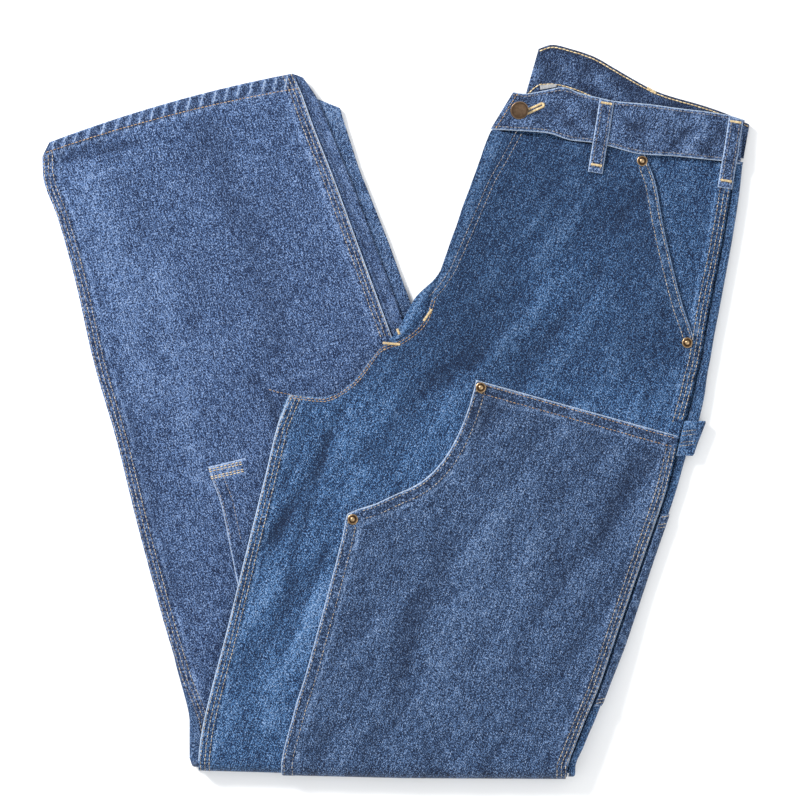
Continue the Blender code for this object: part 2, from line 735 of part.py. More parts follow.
def folded_layers():
    rows = THIGH_ROWS
    left = inseam(rows) + np.stack([CORE_INSET - rows.sliver, 0 * rows.sliver], axis=1)
    right = outseam(rows) + np.stack([rows.strip - STRIP_INSET, 0 * rows.strip], axis=1)
    shares = 1 - hidden_shares(outseam(rows), inseam(rows))[:, -2::-1]
    shares = np.concatenate([shares, 1 + 0 * shares[:, :1]], axis=1)
    x, y = across(inseam(rows), outseam(rows), shares)
    x, y = with_edges(left, x, y, right)
    y[-1] = fold_start(x[-1])
    still = np.zeros((len(x), 1))
    outer = [bend(x, y, CORE_DEPTH, still)]
    inner = [thigh_underside(inseam(rows), outseam(rows), left, right)]

    shins = cut(SHIN_ROWS, 0, row_at(SHIN_ROWS, SHIN, UNDER_LEG_ROWS - 1) + 1)
    shin_left = inseam(shins) + np.array([SHIN_CORE_INSET, 0.0])
    reach = shins.strip + shins.under_strip - SHIN_CORE_INSET
    shin_right = outseam(shins) + np.stack([reach, STRIP_LEAN * reach], axis=1)
    shin_x, shin_y = shin_columns(shins)
    shin_x, shin_y = with_edges(shin_left, shin_x, shin_y, shin_right)
    top = shin_height(shin_x, shin_y) - 2 * LAYER

    half_slot = (SLOT_TOP - SHIN_CORE) / 2
    turns = np.linspace(0, pi, FOLD_STEPS + 1)[1:]
    for turn in turns:
        share = turn / pi
        across_x = x[-1] * (1 - share) + shin_x[0] * share
        start = fold_start(across_x)
        depth = CORE_DEPTH if turn <= BACK_TURN + BACK_TURN_MARGIN else LAYER
        outer.append(bend(across_x, start, depth, np.full(len(start), turn))[None])
        lip = start - SLOT_REACH * np.sin(turn)
        level = SHIN_CORE + half_slot * (1 + np.cos(turn))
        inner.append(np.stack([across_x, lip, level + 0 * lip], axis=-1)[None])

    shin_y[0] = fold_start(shin_x[0]) + FOLD_CLEARANCE
    outer.append(np.stack([shin_x, shin_y, 0 * shin_y], axis=-1))
    inner.append(np.stack([shin_x, shin_y, top], axis=-1))
    layered("folded_layers", np.concatenate(outer), np.concatenate(inner))


# Shin stack

def tucked_inseam(rows):
    return inseam(rows) + np.stack([rows.tuck, 0 * rows.tuck], axis=1)


def shin_line(rows, shares):
    x, y = across(tucked_inseam(rows), outseam(rows), shares)
    bow = rows.bow[:, None] * 4 * shares * (1 - shares)
    return x, y + bow


def shin_columns(rows):
    """The columns under the right front, from close to the inseam to the outseam itself."""
    shares = 1 - hidden_shares(outseam(rows), tucked_inseam(rows))[:, -2::-1]
    shares = np.concatenate([shares, 1 + 0 * shares[:, :1]], axis=1)
    return shin_line(rows, shares)


def with_hem(rows, spacing):
    """The rows with more of them at these distances from the hem, where it is turned up."""
    wide = np.array(rows).T
    before, last = wide[-2], wide[-1]
    run = np.linalg.norm(((last - before)[0:2] + (last - before)[2:4]) / 2)
    extra = [before + (last - before) * (1 - gap / run) for gap in spacing]
    return type(rows)(*np.concatenate([wide[:-1], extra, wide[-1:]]).T)


def right_front():
    rows = with_hem(SHIN_ROWS, HEM_ROWS)
    shares = spread(tucked_inseam(rows), outseam(rows), SEAM_MARGINS, SHIN_COLUMNS)
    x, y = shin_line(rows, shares)
    relief = felled(distance_to(SHIN_INSEAM_PATH, x, y))
    relief += felled(distance_to(outseam(SHIN_ROWS), x, y)) * (y > HIDDEN_SEAM)
    hem = slice(-len(HEM_ROWS), None)
    relief[hem] = np.maximum(relief[hem], HEM_RISE)
    relief[-1:] = relief[-1:] / 2
    height = shin_height(x, y)
    wall(
        "right_front_panel",
        np.stack([x, y, height + relief], axis=-1),
        np.stack([x, y, height - CLOTH], axis=-1),
    )


def right_back():
    rows = SHIN_ROWS
    angles = np.linspace(-pi / 2, pi / 2, EDGE_ANGLES)
    back_x, back_y = shin_columns(rows)
    back_x = back_x[:, ::-1]
    back_y = back_y[:, ::-1]
    grids = []
    for radius in (SHIN_FOLD_RADIUS, SHIN_FOLD_RADIUS - CLOTH):
        past = rows.strip[:, None] - SHIN_FOLD_RADIUS + radius * np.cos(angles)[None, :]
        depth = SHIN_FOLD_RADIUS + radius * np.sin(angles)[None, :] + 0 * past
        past = np.concatenate([np.full((len(past), 1), GAP), past], axis=1)
        depth = np.concatenate([depth[:, :1], depth], axis=1)
        x = rows.outseam_x[:, None] + past
        y = rows.outseam_y[:, None] + STRIP_LEAN * past
        x = np.concatenate([x, back_x], axis=1)
        y = np.concatenate([y, back_y], axis=1)
        tail = np.repeat(depth[:, -1:], back_x.shape[1], axis=1)
        depth = np.concatenate([depth, tail], axis=1)
        grids.append(np.stack([x, y, shin_height(x, y) - depth], axis=-1))
    wall("right_back_panel", *grids, leftward=True)


def right_patch():
    rows = stations(RIGHT_PATCH, SMALL_SPACING)
    left = np.stack([rows.left_x, rows.left_y], axis=1)
    right = np.stack([rows.right_x, rows.right_y], axis=1)
    shares = np.linspace(0, 1, RIGHT_PATCH_COLUMNS)[None, :] + 0 * left[:, :1]
    x, y = across(left, right, shares)
    height = shin_height(x, y)
    wall(
        "right_knee_patch",
        np.stack([x, y, height + LAYER], axis=-1),
        np.stack([x, y, height + GAP], axis=-1),
        FADED_DENIM,
    )


# Waist

def band_grid(table, shares):
    rows = stations(table, SMALL_SPACING)
    low = np.stack([rows.low_x, rows.low_y], axis=1)
    high = np.stack([rows.high_x, rows.high_y], axis=1)
    return across(low, high, np.array([shares]))


def band_bottom(seat, share):
    """Underside of the front waistband, from its seat on the panel to its rest behind."""
    return seat + (BAND_LOW - seat) * smooth((share - BAND_FALL_START) / BAND_FALL)


def front_band():
    shares = np.array([FRONT_BAND_SHARES])
    x, y = band_grid(FRONT_BAND, FRONT_BAND_SHARES)
    low = band_bottom(thigh_height(x, y)[:, :1] + 2 * GAP, shares)
    edge = BAND_EDGE * ((shares == 0) | (shares == 1))
    wall(
        "waistband_front",
        np.stack([x, y, low + BAND - edge], axis=-1),
        np.stack([x, y, low], axis=-1),
    )


def back_band():
    x, y = band_grid(BACK_BAND, BACK_BAND_SHARES)
    top = np.stack([x, y, BACK_BAND_TOP + 0 * x], axis=-1)
    flat = np.stack([x, y, 0 * x], axis=-1)
    layered("waistband_back", top, flat)


def underlap():
    x, y = band_grid(UNDERLAP, (0, 0.5, 1))
    wall(
        "waistband_underlap",
        np.stack([x, y, UNDERLAP_TOP + 0 * x], axis=-1),
        np.stack([x, y, UNDERLAP_BOTTOM + 0 * x], axis=-1),
    )


def tape():
    x, y = band_grid(TAPE, (0, 1))
    low = UNDERLAP_TOP + GAP
    wall(
        "waist_tape",
        np.stack([x, y, low + TAPE_CLOTH + 0 * x], axis=-1),
        np.stack([x, y, low + 0 * x], axis=-1),
        TAPE_WHITE,
    )


def band_height(x, y):
    """Top face of the front waistband at a point on it."""
    rows = stations(FRONT_BAND, SMALL_SPACING)
    low = np.array([np.interp(x, rows.low_x, rows.low_y)])
    high = np.array([np.interp(x, rows.high_x, rows.high_y)])
    share = np.clip((y - low) / (high - low), 0, 1)
    seat = thigh_height(np.array([x]), low) + 2 * GAP
    return float((band_bottom(seat, share) + BAND)[0])


# Loops, tool pocket and hardware

def belt_loop(loop):
    top = np.array((loop.top_x, loop.top_y))
    low = np.array((loop.low_x, loop.low_y))
    along = (low - top) / np.linalg.norm(low - top)
    side = np.array((-along[1], along[0]))
    grids = ([], [])
    for share in LOOP_SHARES:
        middle = top + (low - top) * share
        outer_row = []
        inner_row = []
        for offset in LOOP_OFFSETS:
            x, y = middle + side * offset * LOOP_WIDTH
            on_band = band_height(x, y)
            on_panel = float(thigh_height(np.array(x), np.array(y))) + SEAM_RISE
            on_band = on_band * (share < LOOP_BAND_END)
            on_panel = on_panel * (share > LOOP_PANEL_START)
            seat = max(on_band, on_panel) + GAP
            crown = LOOP_CLOTH - LOOP_ROUNDING * (abs(offset) > LOOP_EDGE)
            outer_row.append((x, y, seat + crown))
            inner_row.append((x, y, seat))
        grids[0].append(outer_row)
        grids[1].append(inner_row)
    wall(loop.name, np.array(grids[0]), np.array(grids[1]))


def rows_between(high, low, count):
    """Smooth thigh rows whose outseam lies between two heights on the pants."""
    wanted = np.linspace(high, low, count)
    order = np.argsort(THIGH_ROWS.outseam_y)
    at = THIGH_ROWS.outseam_y[order]
    return ThighRow(*(np.interp(wanted, at, column[order]) for column in THIGH_ROWS))


def edge_strap(strap):
    """A strip of cloth that lies on the back's strip and goes round its folded edge."""
    rows = rows_between(strap.top, strap.end, strap.rows)
    angles = np.linspace(-pi / 2, strap.turn, strap.steps)
    seat = THIGH_FOLD_RADIUS + GAP
    grids = []
    for radius in (seat + strap.cloth, seat):
        past = rows.strip[:, None] + strap.centre + radius * np.cos(angles)[None, :]
        depth = THIGH_FOLD_RADIUS + radius * np.sin(angles)[None, :] + 0 * past
        first = np.full((len(past), 1), strap.start)
        past = np.concatenate([first, past], axis=1)
        depth = np.concatenate([depth[:, :1], depth], axis=1)
        x = rows.outseam_x[:, None] + past
        y = rows.outseam_y[:, None] + 0 * past
        grids.append(bend(x, y, depth, np.zeros((len(x), 1))))
    wall(strap.name, *grids)


def seat_height(spot, radius):
    """Highest point of the panel under a round piece."""
    angles = np.arange(ROUND_STEPS) * 2 * pi / ROUND_STEPS
    x = spot.x + radius * np.cos(angles)
    y = spot.y + radius * np.sin(angles)
    return float((thigh_height(x, y) + seam_relief(x, y)).max())


def rivets():
    for spots, lift in ((PANEL_RIVETS, 0.0), (PATCH_RIVETS, PATCH_GAP + CLOTH)):
        for spot in spots:
            base = seat_height(spot, RIVET_RADIUS) + lift + GAP
            lathe(spot, base, RIVET_RADIUS, RIVET_PROFILE, BRASS, BRASS_ROUGHNESS)


def waist_button():
    base = band_height(BUTTON.x, BUTTON.y) + BUTTON_SEAT
    lathe(BUTTON, base, BUTTON_RADIUS, BUTTON_PROFILE, BRONZE, BRONZE_ROUGHNESS)


def build():
    for old in list(bpy.data.objects):
        bpy.data.objects.remove(old, do_unlink=True)
    folded_layers()
    right_back()
    right_front()
    right_patch()
    left_back()
    right_front_sliver()
    pocket_facing()
    left_front()
    left_patch()
    back_band()
    underlap()
    tape()
    front_band()
    for loop in BELT_LOOPS:
        belt_loop(loop)
    edge_strap(HAMMER_LOOP)
    edge_strap(TOOL_POCKET)
    rivets()
    waist_button()


build()
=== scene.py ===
from collections import namedtuple
from math import pi, radians

import bmesh
import bpy
import numpy as np
from mathutils import Matrix, Vector


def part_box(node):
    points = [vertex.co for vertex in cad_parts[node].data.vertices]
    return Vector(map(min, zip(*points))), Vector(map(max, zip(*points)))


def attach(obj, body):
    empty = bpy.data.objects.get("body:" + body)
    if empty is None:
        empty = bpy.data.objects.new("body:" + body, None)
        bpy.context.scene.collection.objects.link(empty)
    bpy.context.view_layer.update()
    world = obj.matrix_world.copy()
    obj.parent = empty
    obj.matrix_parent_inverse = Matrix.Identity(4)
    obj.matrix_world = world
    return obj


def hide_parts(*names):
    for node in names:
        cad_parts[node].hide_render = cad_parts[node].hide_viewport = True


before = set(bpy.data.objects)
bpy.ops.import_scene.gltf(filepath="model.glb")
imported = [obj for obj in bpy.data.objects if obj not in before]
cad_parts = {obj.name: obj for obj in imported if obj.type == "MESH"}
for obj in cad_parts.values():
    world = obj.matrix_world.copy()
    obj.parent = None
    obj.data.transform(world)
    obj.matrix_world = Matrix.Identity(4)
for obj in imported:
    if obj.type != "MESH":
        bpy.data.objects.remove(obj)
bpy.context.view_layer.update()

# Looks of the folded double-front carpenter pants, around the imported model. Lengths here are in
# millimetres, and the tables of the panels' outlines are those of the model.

MM = 0.001

# Cloth and layers, as in the model
CLOTH = 1.3
GAP = 0.3
LAYER = CLOTH + GAP
PATCH_GAP = 0.7
BAND = 2.4
SEAM_RISE = 0.8
SEAM_WIDTH = 10.0
SEAM_REACH = 14.0
HEM_RISE = 1.0
SHIN_CORE = 4.4
SHIN_TOP = SHIN_CORE + 2 * LAYER
SLOT_TOP = SHIN_TOP + LAYER + GAP
SHIN_FOLD_RADIUS = (2 * CLOTH + GAP) / 2
CORE_DEPTH = 3 * LAYER
THIGH_FOLD_RADIUS = (2 * LAYER + CLOTH) / 2
THIGH_CORE = 5.0
LOW_TOP = THIGH_CORE + CORE_DEPTH
DRAPE_WIDTH = 110.0
UNDERSIDE_DRAPE = 20.0
UNDERSIDE_MARGIN = 3.0
KNEE_SPAN = 70.0
EDGE_REACH = 12.0
EDGE_DROOP = 1.5
SHIN_EDGE_DROOP = 0.9
FOLD_REACH = 10.0
TURN_LENGTH = pi * FOLD_REACH
LOOP_WIDTH = 12.5
LOOP_CLOTH = 1.7

# How fine the shells are
FINE = 2.4
PATH_SPACING = 16.0
HIDDEN_SPACING = 8.0
BACK_SPACING = 3.0
UNDER_MARGINS = (4, 12)
UNDER_COLUMNS = 6
UNDER_STEP = 4

ThighRow = namedtuple("ThighRow", "inseam_x inseam_y outseam_x outseam_y strip slash sliver")
THIGH = (
    ThighRow(103, 267, 290.5, 214, 8, 79, 0),
    ThighRow(82, 241, 289.5, 212, 8.5, 77, 0),
    ThighRow(72.5, 216, 287, 189.5, 8.5, 65, 0),
    ThighRow(60.5, 182, 281.5, 156, 9, 53, 0),
    ThighRow(38.5, 120, 268, 87.5, 10, 22, 0),
    ThighRow(30.5, 96, 263.5, 61.5, 9.5, 8, 14),
    ThighRow(24.5, 79, 260, 41, 9.5, 0, 17),
    ThighRow(4.5, 61.5, 256, 27, 11, 0, 9),
    ThighRow(-10, 56.5, 253.5, 15, 12, 0, 0),
    ThighRow(-39, 23, 250, 3, 13, 0, 0),
    ThighRow(-63, 11.5, 247, -7.5, 13.5, 0, 0),
    ThighRow(-90, 14.5, 244.5, -17, 12.5, 0, 0),
    ThighRow(-101, -12.5, 241, -31.5, 10.5, 0, 0),
    ThighRow(-109.5, -47.5, 234.5, -59, 9, 0, 0),
    ThighRow(-125, -109.5, 214.5, -119, 9, 0, 0),
    ThighRow(-146.5, -196.5, 187.5, -196.5, 10, 0, 0),
    ThighRow(-157, -236, 174, -236, 8, 0, 0),
    ThighRow(-160.5, -250, 168, -250, 8.5, 0, 0),
    ThighRow(-164, -265, 161.5, -265, 9, 0, 0),
    ThighRow(-166, -276, 157, -276, 8.5, 0, 0),
    ThighRow(-167.5, -287, 152.5, -288, 8, 0, 0),
    ThighRow(-168.5, -298, 147, -301, 7, 0, 0),
)
WAIST_ROW = 1
FIRST_SLIVER_ROW = 4
FLY_END_ROW = 5
FACING_END_ROW = 6
CROTCH_ROW = 8
INSEAM_TOP_ROW = 11

ShinRow = namedtuple(
    "ShinRow", "inseam_x inseam_y outseam_x outseam_y strip under_strip tuck bow"
)
SHIN = (
    ShinRow(-177.5, -294, 128.5, -296.5, 8, 14, 13, 0),
    ShinRow(-177.5, -265, 115, -255, 12, 11, 8, 0),
    ShinRow(-185.5, -231, 101.5, -219, 12.5, 11, 2, 0),
    ShinRow(-204, -162, 73, -142, 14, 12, 0, 0),
    ShinRow(-222.5, -93, 43.5, -62, 15, 13, 0, 0),
    ShinRow(-239.5, -24.5, 13.5, 19, 16, 14, 0, 0),
    ShinRow(-259.5, 44.5, -14.5, 95, 17.5, 14.5, 0, 0),
    ShinRow(-275, 113, -36.5, 155, 17, 15, 0, 0),
    ShinRow(-289.5, 165, -54.5, 204, 16.5, 14, 0, 1),
    ShinRow(-302.5, 203, -71, 246, 16, 16, 0, 3),
    ShinRow(-303, 219, -81, 274, 14, 20, 0, 5),
    ShinRow(-297, 231, -88, 290, 9, 26, 0, 5),
)
STRIP_LEAN = -0.4
HIDDEN_SEAM = 55.0
UNDER_LEG_ROWS = 11
FOLD_LINE = ((-177.5, -307.5), (-98.5, -309.7), (9, -312.3), (150, -313))
SHIN_EDGE = ((13.3, 94.2), (154.4, -312.6))

PatchRow = namedtuple("PatchRow", "left_x left_y right_x right_y")
LEFT_PATCH = (
    PatchRow(69, 27, 242, -21),
    PatchRow(64, 7.5, 239, -33),
    PatchRow(52, -23, 235, -50),
    PatchRow(36.5, -47, 230.5, -66),
    PatchRow(17, -63.5, 225.5, -80.5),
    PatchRow(4, -69, 223, -87.5),
    PatchRow(-20, -80, 220.5, -95),
    PatchRow(-41, -87.5, 217.5, -104.5),
    PatchRow(-44.5, -103.5, 212.5, -121),
    PatchRow(-57, -152.5, 201.5, -153.5),
    PatchRow(-69, -196.5, 187, -196.5),
    PatchRow(-78, -229, 176, -229),
    PatchRow(-85, -250, 168, -250),
    PatchRow(-88.5, -263.5, 162, -263.5),
    PatchRow(-92, -276, 157, -276),
    PatchRow(-95, -287, 152, -288),
    PatchRow(-97.5, -299.5, 146, -301),
)
PATCH_CORNER_ROW = 7
RIGHT_PATCH = (
    PatchRow(-160.5, -47.5, 20, -4),
    PatchRow(-157, -59, 24, -16),
    PatchRow(-150, -78, 40, -41),
    PatchRow(-143, -110.5, 58, -80),
    PatchRow(-129.5, -179, 88, -162),
    PatchRow(-118, -239.5, 106, -232),
    PatchRow(-108, -295, 126, -299),
)

BandRow = namedtuple("BandRow", "low_x low_y high_x high_y")
FRONT_BAND = (
    BandRow(81.5, 242, 101, 274),
    BandRow(97, 241, 111, 272.5),
    BandRow(115.5, 240, 127, 275),
    BandRow(131, 238.5, 143, 278),
    BandRow(150, 232.5, 158.5, 273),
    BandRow(168, 230.5, 175, 269),
    BandRow(184.5, 227, 189.5, 266),
    BandRow(211, 220.5, 217, 263.5),
    BandRow(237, 219, 243, 260),
    BandRow(262, 216.5, 268, 257),
    BandRow(281, 214.5, 286, 254),
    BandRow(295.5, 212, 299.5, 250),
)
BACK_BAND = (
    BandRow(111.5, 271, 123, 311.5),
    BandRow(125, 268, 134.5, 315),
    BandRow(142.5, 262.5, 152, 311),
    BandRow(160.5, 257.5, 170, 305),
    BandRow(177.5, 252.5, 187, 295.5),
    BandRow(195.5, 246.5, 205, 285),
    BandRow(213.5, 240.5, 223, 275.5),
    BandRow(229, 235.5, 237, 270.5),
    BandRow(257.5, 227.5, 263.5, 263),
    BandRow(281, 221.5, 286, 255),
    BandRow(299, 217.5, 304, 246.5),
)
UNDERLAP = (
    BandRow(107, 268, 111.5, 272.5),
    BandRow(116, 266.5, 122, 281.5),
    BandRow(133, 264, 134.5, 282.5),
    BandRow(147, 263, 147.5, 280),
    BandRow(161, 261, 160.5, 275.5),
    BandRow(179, 258, 177.5, 267.5),
)
TAPE = (BandRow(124, 276, 124, 280), BandRow(138, 278.5, 138, 281))
BACK_BAND_TOP = 5.2
UNDERLAP_BOTTOM = 5.5
UNDERLAP_TOP = 7.5
TAPE_CLOTH = 0.6
BAND_LOW = 7.9

# A fold is a soft ridge, or a trough where its height is negative
Fold = namedtuple("Fold", "start_x start_y end_x end_y width height")
THIGH_FOLDS = (
    Fold(208, 187, 122, 114, 15, -1.3),
    Fold(110, 103, 41, 29, 17, -1.5),
    Fold(150, 150, 95, 60, 22, 1.2),
    Fold(176, 118, 70, -8, 16, -1.0),
    Fold(-47, -4, -104, -108, 10, -1.4),
    Fold(-22, 8, -66, -70, 11, 1.0),
    Fold(20, 30, -20, -40, 14, -1.0),
    Fold(-60, -150, -112, -262, 16, 0.8),
    Fold(90, -90, 40, -250, 28, 0.8),
)
THIGH_CREASES = (
    Fold(88, 230, 60, 172, 5, 0.5),
    Fold(80, 212, 52, 150, 4, -0.45),
    Fold(46, 128, 30, 92, 4, 0.5),
    Fold(-18, 40, -46, 0, 4, -0.5),
    Fold(-34, 14, -58, -34, 4, 0.55),
    Fold(-56, -21, -92, -144, 6, -0.7),
    Fold(-72, -10, -96, -66, 4, -0.5),
    Fold(-4, 44, -30, 6, 3.5, 0.4),
    Fold(118, 96, 62, 36, 5, -0.7),
    Fold(158, 204, 108, 150, 8, 0.5),
    Fold(196, 170, 172, 120, 8, -0.5),
    Fold(214, 190, 224, 120, 5, -0.6),
    Fold(236, 96, 214, 4, 5, -0.6),
    Fold(222, 40, 196, -16, 6, 0.5),
    Fold(204, -30, 176, -120, 12, -0.4),
    Fold(-60, -120, -100, -220, 6, -0.4),
    Fold(30, -120, 0, -240, 14, -0.4),
    Fold(120, -60, 100, -190, 12, 0.4),
)
SHIN_FOLDS = (
    Fold(-262, 205, -215, 20, 24, 0.7),
    Fold(-160, 240, -95, 60, 22, -0.6),
    Fold(-120, 25, -100, -5, 8, -0.6),
)
SHIN_CREASES = (
    Fold(-290, 214, -220, 231, 5, -0.7),
    Fold(-272, 196, -236, 210, 4, 0.35),
    Fold(-146, -4, -137, -32, 2.5, 0.35),
    Fold(-137, -32, -131, -44, 2.5, 0.3),
    Fold(-119, 22, -108, 2, 3, 0.45),
    Fold(-110, 12, -98, -14, 4, -0.45),
    Fold(-200, 120, -170, -60, 14, 0.4),
    Fold(-240, 40, -190, -160, 12, -0.35),
    Fold(-60, 200, -40, 130, 8, 0.3),
)
BAND_CREASES = (
    Fold(236, 226, 252, 244, 4, -0.6),
    Fold(248, 222, 266, 246, 3.5, 0.5),
    Fold(262, 222, 280, 240, 4, -0.5),
    Fold(140, 256, 158, 240, 6, -0.5),
    Fold(196, 250, 214, 240, 5, -0.5),
    Fold(170, 262, 176, 236, 4, -0.4),
)

# Way that the small folds of the thigh run, and how drawn out they are
STREAK_WAY = (0.52, 0.854)
STREAK_SHARE = 0.3
THIGH_STIR = 1.15

# Small unevenness: how high it is, and how wide its bumps are
Stir = namedtuple("Stir", "height size")
THIGH_STIRS = (Stir(0.32, 34), Stir(0.20, 13))
SHIN_STIRS = (Stir(0.14, 44), Stir(0.08, 16))
BAND_STIRS = (Stir(0.42, 24), Stir(0.16, 9))
ROPE_PITCH = 8.5
HEM_ROPE_PITCH = 10.5

# Turn of the warp on the thighs and on the shins, from the y axis
THIGH_WARP = -0.34
SHIN_WARP = 0.28
SHIN_CREASE_DEPTH = 0.6

# The thigh is darker above its middle, but for this spot
Place = namedtuple("Place", "x y")
PALE_SPOT = Place(150, 96)
PALE_REACH = 45.0

# Columns beside a sewn edge, in millimetres from it
SEAM_COLUMNS = (0, 0.5, 1.1, 2.0, 3.8, 5.6, 7.4, 9.0, 9.9, 10.7, 11.6, 13.2, 15.5)
PLAIN_COLUMNS = (0, 0.5, 1.2, 2.2, 3.6)

# Sewing: stitch length, distance between stitches and thread radius
STITCH = 2.45
PITCH = 3.3
THREAD = 0.34
THIN_THREAD = 0.32
THREAD_SIDES = 6
SHORTEST_STITCH = 0.3
TRIPLE = (1.6, 5.2, 8.9)
INSEAM_TRIPLE = (1.8, 5.6, 9.4)
DOUBLE = (2.2, 9.2)
CROTCH_DOUBLE = (1.3, 3.6)
SLASH_DOUBLE = (-1.8, -8.2)
PATCH_TOP_DOUBLE = (2.4, 10.0)
OPENING_DOUBLE = (2.0, 10.4)
OPENING_BAND_LINES = (2.2, 4.2, 8.8, 10.6)

# A stitch: share of its length, share of its radius, and lift as a share of the radius
STITCH_SHAPE = (
    (0.0, 0.35, -0.25), (0.14, 0.85, 0.15), (0.5, 1.0, 0.45), (0.86, 0.85, 0.15), (1.0, 0.35, -0.25)
)

# A bar of a bar tack: share of its radius and lift, at even places
BAR_SHAPE = ((0.4, -0.1), (0.9, 0.7), (1.0, 1.1), (0.9, 0.7), (0.4, -0.1))

Spot = namedtuple("Spot", "name x y")
RIVETS = (
    Spot("rivet_pocket_top", 211.5, 214.8),
    Spot("rivet_pocket_bottom", 250, 59),
    Spot("rivet_patch_top", 73, 20.5),
    Spot("rivet_patch_side", -36.5, -92),
)
BUTTON = (106, 258)
BUTTON_TILT = 22.0
BUTTON_TURN = 25.0
BUTTON_LIFT = 2.2
BUTTONHOLE = ((112.5, 256.5), (125.5, 262.5))
Loop = namedtuple("Loop", "name top_x top_y low_x low_y")
BELT_LOOPS = (
    Loop("belt_loop_front", 181.3, 267, 171.1, 204.7),
    Loop("belt_loop_side", 292, 251, 282.2, 191.3),
)
HAMMER_LOOP = (-8.0, -38.0)
TOOL_POCKET = (-88.0, -252.0)
TOOL_POCKET_CLOTH = 1.1

# Where the outseam is sewn on the panel, and where on the patch, and the end of the leg's inseam
PANEL_SEWN_TO = -14.0
PATCH_SEWN_FROM = -22.0
LEG_SEWN_TO = 222.0

# Sewn lines away from the panels' edges
FLY_STITCH = (
    (108, 238), (96.5, 217), (84.7, 196.5), (68, 158), (52, 121.7), (42, 106), (33, 96)
)
FLY_SPACING = 4.6
FLY_END_Y = 96.0
FLY_WIDTH = 27.0
PATCH_TOP_STITCH = ((71, 26.5), (240, -20.5))
OPENING_STITCH = ((-157, -60), (-150, -78), (-143, -110.5))
OPENING_BAND_END = -131.0
OPENING_BAND_STITCH = ((-160.5, -47.5), (-132.5, -41))
BAND_END_STITCH = ((84.5, 243.5), (102.5, 272.5))
HAMMER_LOOP_SEWING = (-17.0, -20.6, -26.5, -29.6)
TOOL_POCKET_SEWING = (-90.5, -97.0, -100.0, -246.5, -249.5)
TailEnd = namedtuple("TailEnd", "x y")
CROTCH_TAIL = (TailEnd(-90, 14.5), TailEnd(-99, 16.2), TailEnd(-107, 18.5))
BarTack = namedtuple("BarTack", "start_x start_y end_x end_y on")
BAR_TACKS = (
    BarTack(30.8, 87.0, 24.2, 77.5, "thigh"),
    BarTack(-10.5, 58.6, 3.8, 57.4, "thigh"),
    BarTack(1.6, 70.5, 3.4, 66.0, "sliver"),
    BarTack(216.5, 278.2, 223.5, 273.2, "back_band"),
)

# Camera, floor and light, in metres, and the sensor in millimetres
CAMERA_HEIGHT = 3.0
VIEW_WIDTH = 0.688
VIEW_CENTRE = (0.0039, 0.0099)
SENSOR = 36.0
FLOOR_REACH = 6.0
FLOOR_DROP = 0.0002
FLOOR_GREY = 0.93
Lamp = namedtuple("Lamp", "name place size power")
LAMPS = (Lamp("key", (-1.6, 1.4, 1.35), 0.7, 98), Lamp("fill", (1.6, -0.9, 2.2), 1.8, 22))
SKY = (0.96, 0.98, 1.0)
SKY_STRENGTH = 0.84


# Numbers

def smooth(share):
    share = np.clip(share, 0, 1)
    return share * share * (3 - 2 * share)


def monotone(at, values, wanted):
    """Values at the wanted places, smooth through the given ones and never past them."""
    steps = np.diff(at)
    rates = np.diff(values) / steps
    slopes = np.concatenate([rates[:1], np.zeros(len(rates) - 1), rates[-1:]])
    for k in range(1, len(rates)):
        before, after = rates[k - 1], rates[k]
        if before * after > 0:
            slopes[k] = 2 * before * after / (before + after)
    place = np.clip(np.searchsorted(at, wanted, "right") - 1, 0, len(steps) - 1)
    share = (wanted - at[place]) / steps[place]
    length = steps[place]
    rise = values[place + 1] - values[place]
    start = slopes[place] * length
    end = slopes[place + 1] * length
    curve = (start + end - 2 * rise) * share + 3 * rise - 2 * start - end
    return values[place] + share * (start + share * curve)


def stations(table, spacing):
    """The rows of a table with smooth rows between them: the table's type, an array a column."""
    rows = np.array(table, float)
    middles = (rows[:, 0:2] + rows[:, 2:4]) / 2
    at = np.concatenate([[0], np.cumsum(np.linalg.norm(np.diff(middles, axis=0), axis=1))])
    wanted = [0.0]
    for start, end in zip(at, at[1:]):
        parts = max(1, round((end - start) / spacing))
        wanted += [start + (end - start) * (k + 1) / parts for k in range(parts)]
    wanted = np.array(wanted)
    return type(table[0])(*(monotone(at, column, wanted) for column in rows.T))


def cut(rows, start, end=None):
    return type(rows)(*(column[start:end] for column in rows))


def distance_to(path, x, y):
    """Distance of each point to the nearest stretch of a path."""
    path = np.asarray(path, float)
    nearest = np.full(np.shape(x), 1e9)
    for (start_x, start_y), (end_x, end_y) in zip(path, path[1:]):
        along_x = end_x - start_x
        along_y = end_y - start_y
        length = along_x**2 + along_y**2 + 1e-9
        share = np.clip(((x - start_x) * along_x + (y - start_y) * along_y) / length, 0, 1)
        away = np.hypot(x - start_x - share * along_x, y - start_y - share * along_y)
        nearest = np.minimum(nearest, away)
    return nearest


def ripple(x, y, size, seed):
    """Smooth unevenness from about -1 to 1, with bumps of about this size."""
    draws = np.random.default_rng(seed)
    total = 0.0
    for _ in range(9):
        angle = draws.uniform(0, 2 * pi)
        phase = draws.uniform(0, 2 * pi)
        wave = size * draws.uniform(0.6, 1.6)
        total = total + np.sin((x * np.cos(angle) + y * np.sin(angle)) * 2 * pi / wave + phase)
    return total / 4.5


def spread(left, right, margins, middle):
    """Places across a row as shares: the margins in millimetres at both ends, the rest even."""
    width = np.linalg.norm(right - left, axis=-1)[:, None]
    margins = np.array(margins, float)[None, :]
    inner = np.linspace(0, 1, middle + 2)[None, 1:-1]
    last = margins[:, -1:]
    inner = last + (width - 2 * last) * inner
    near = np.repeat(margins, len(width), axis=0)
    return np.concatenate([near, inner, width - near[:, ::-1]], axis=1) / width


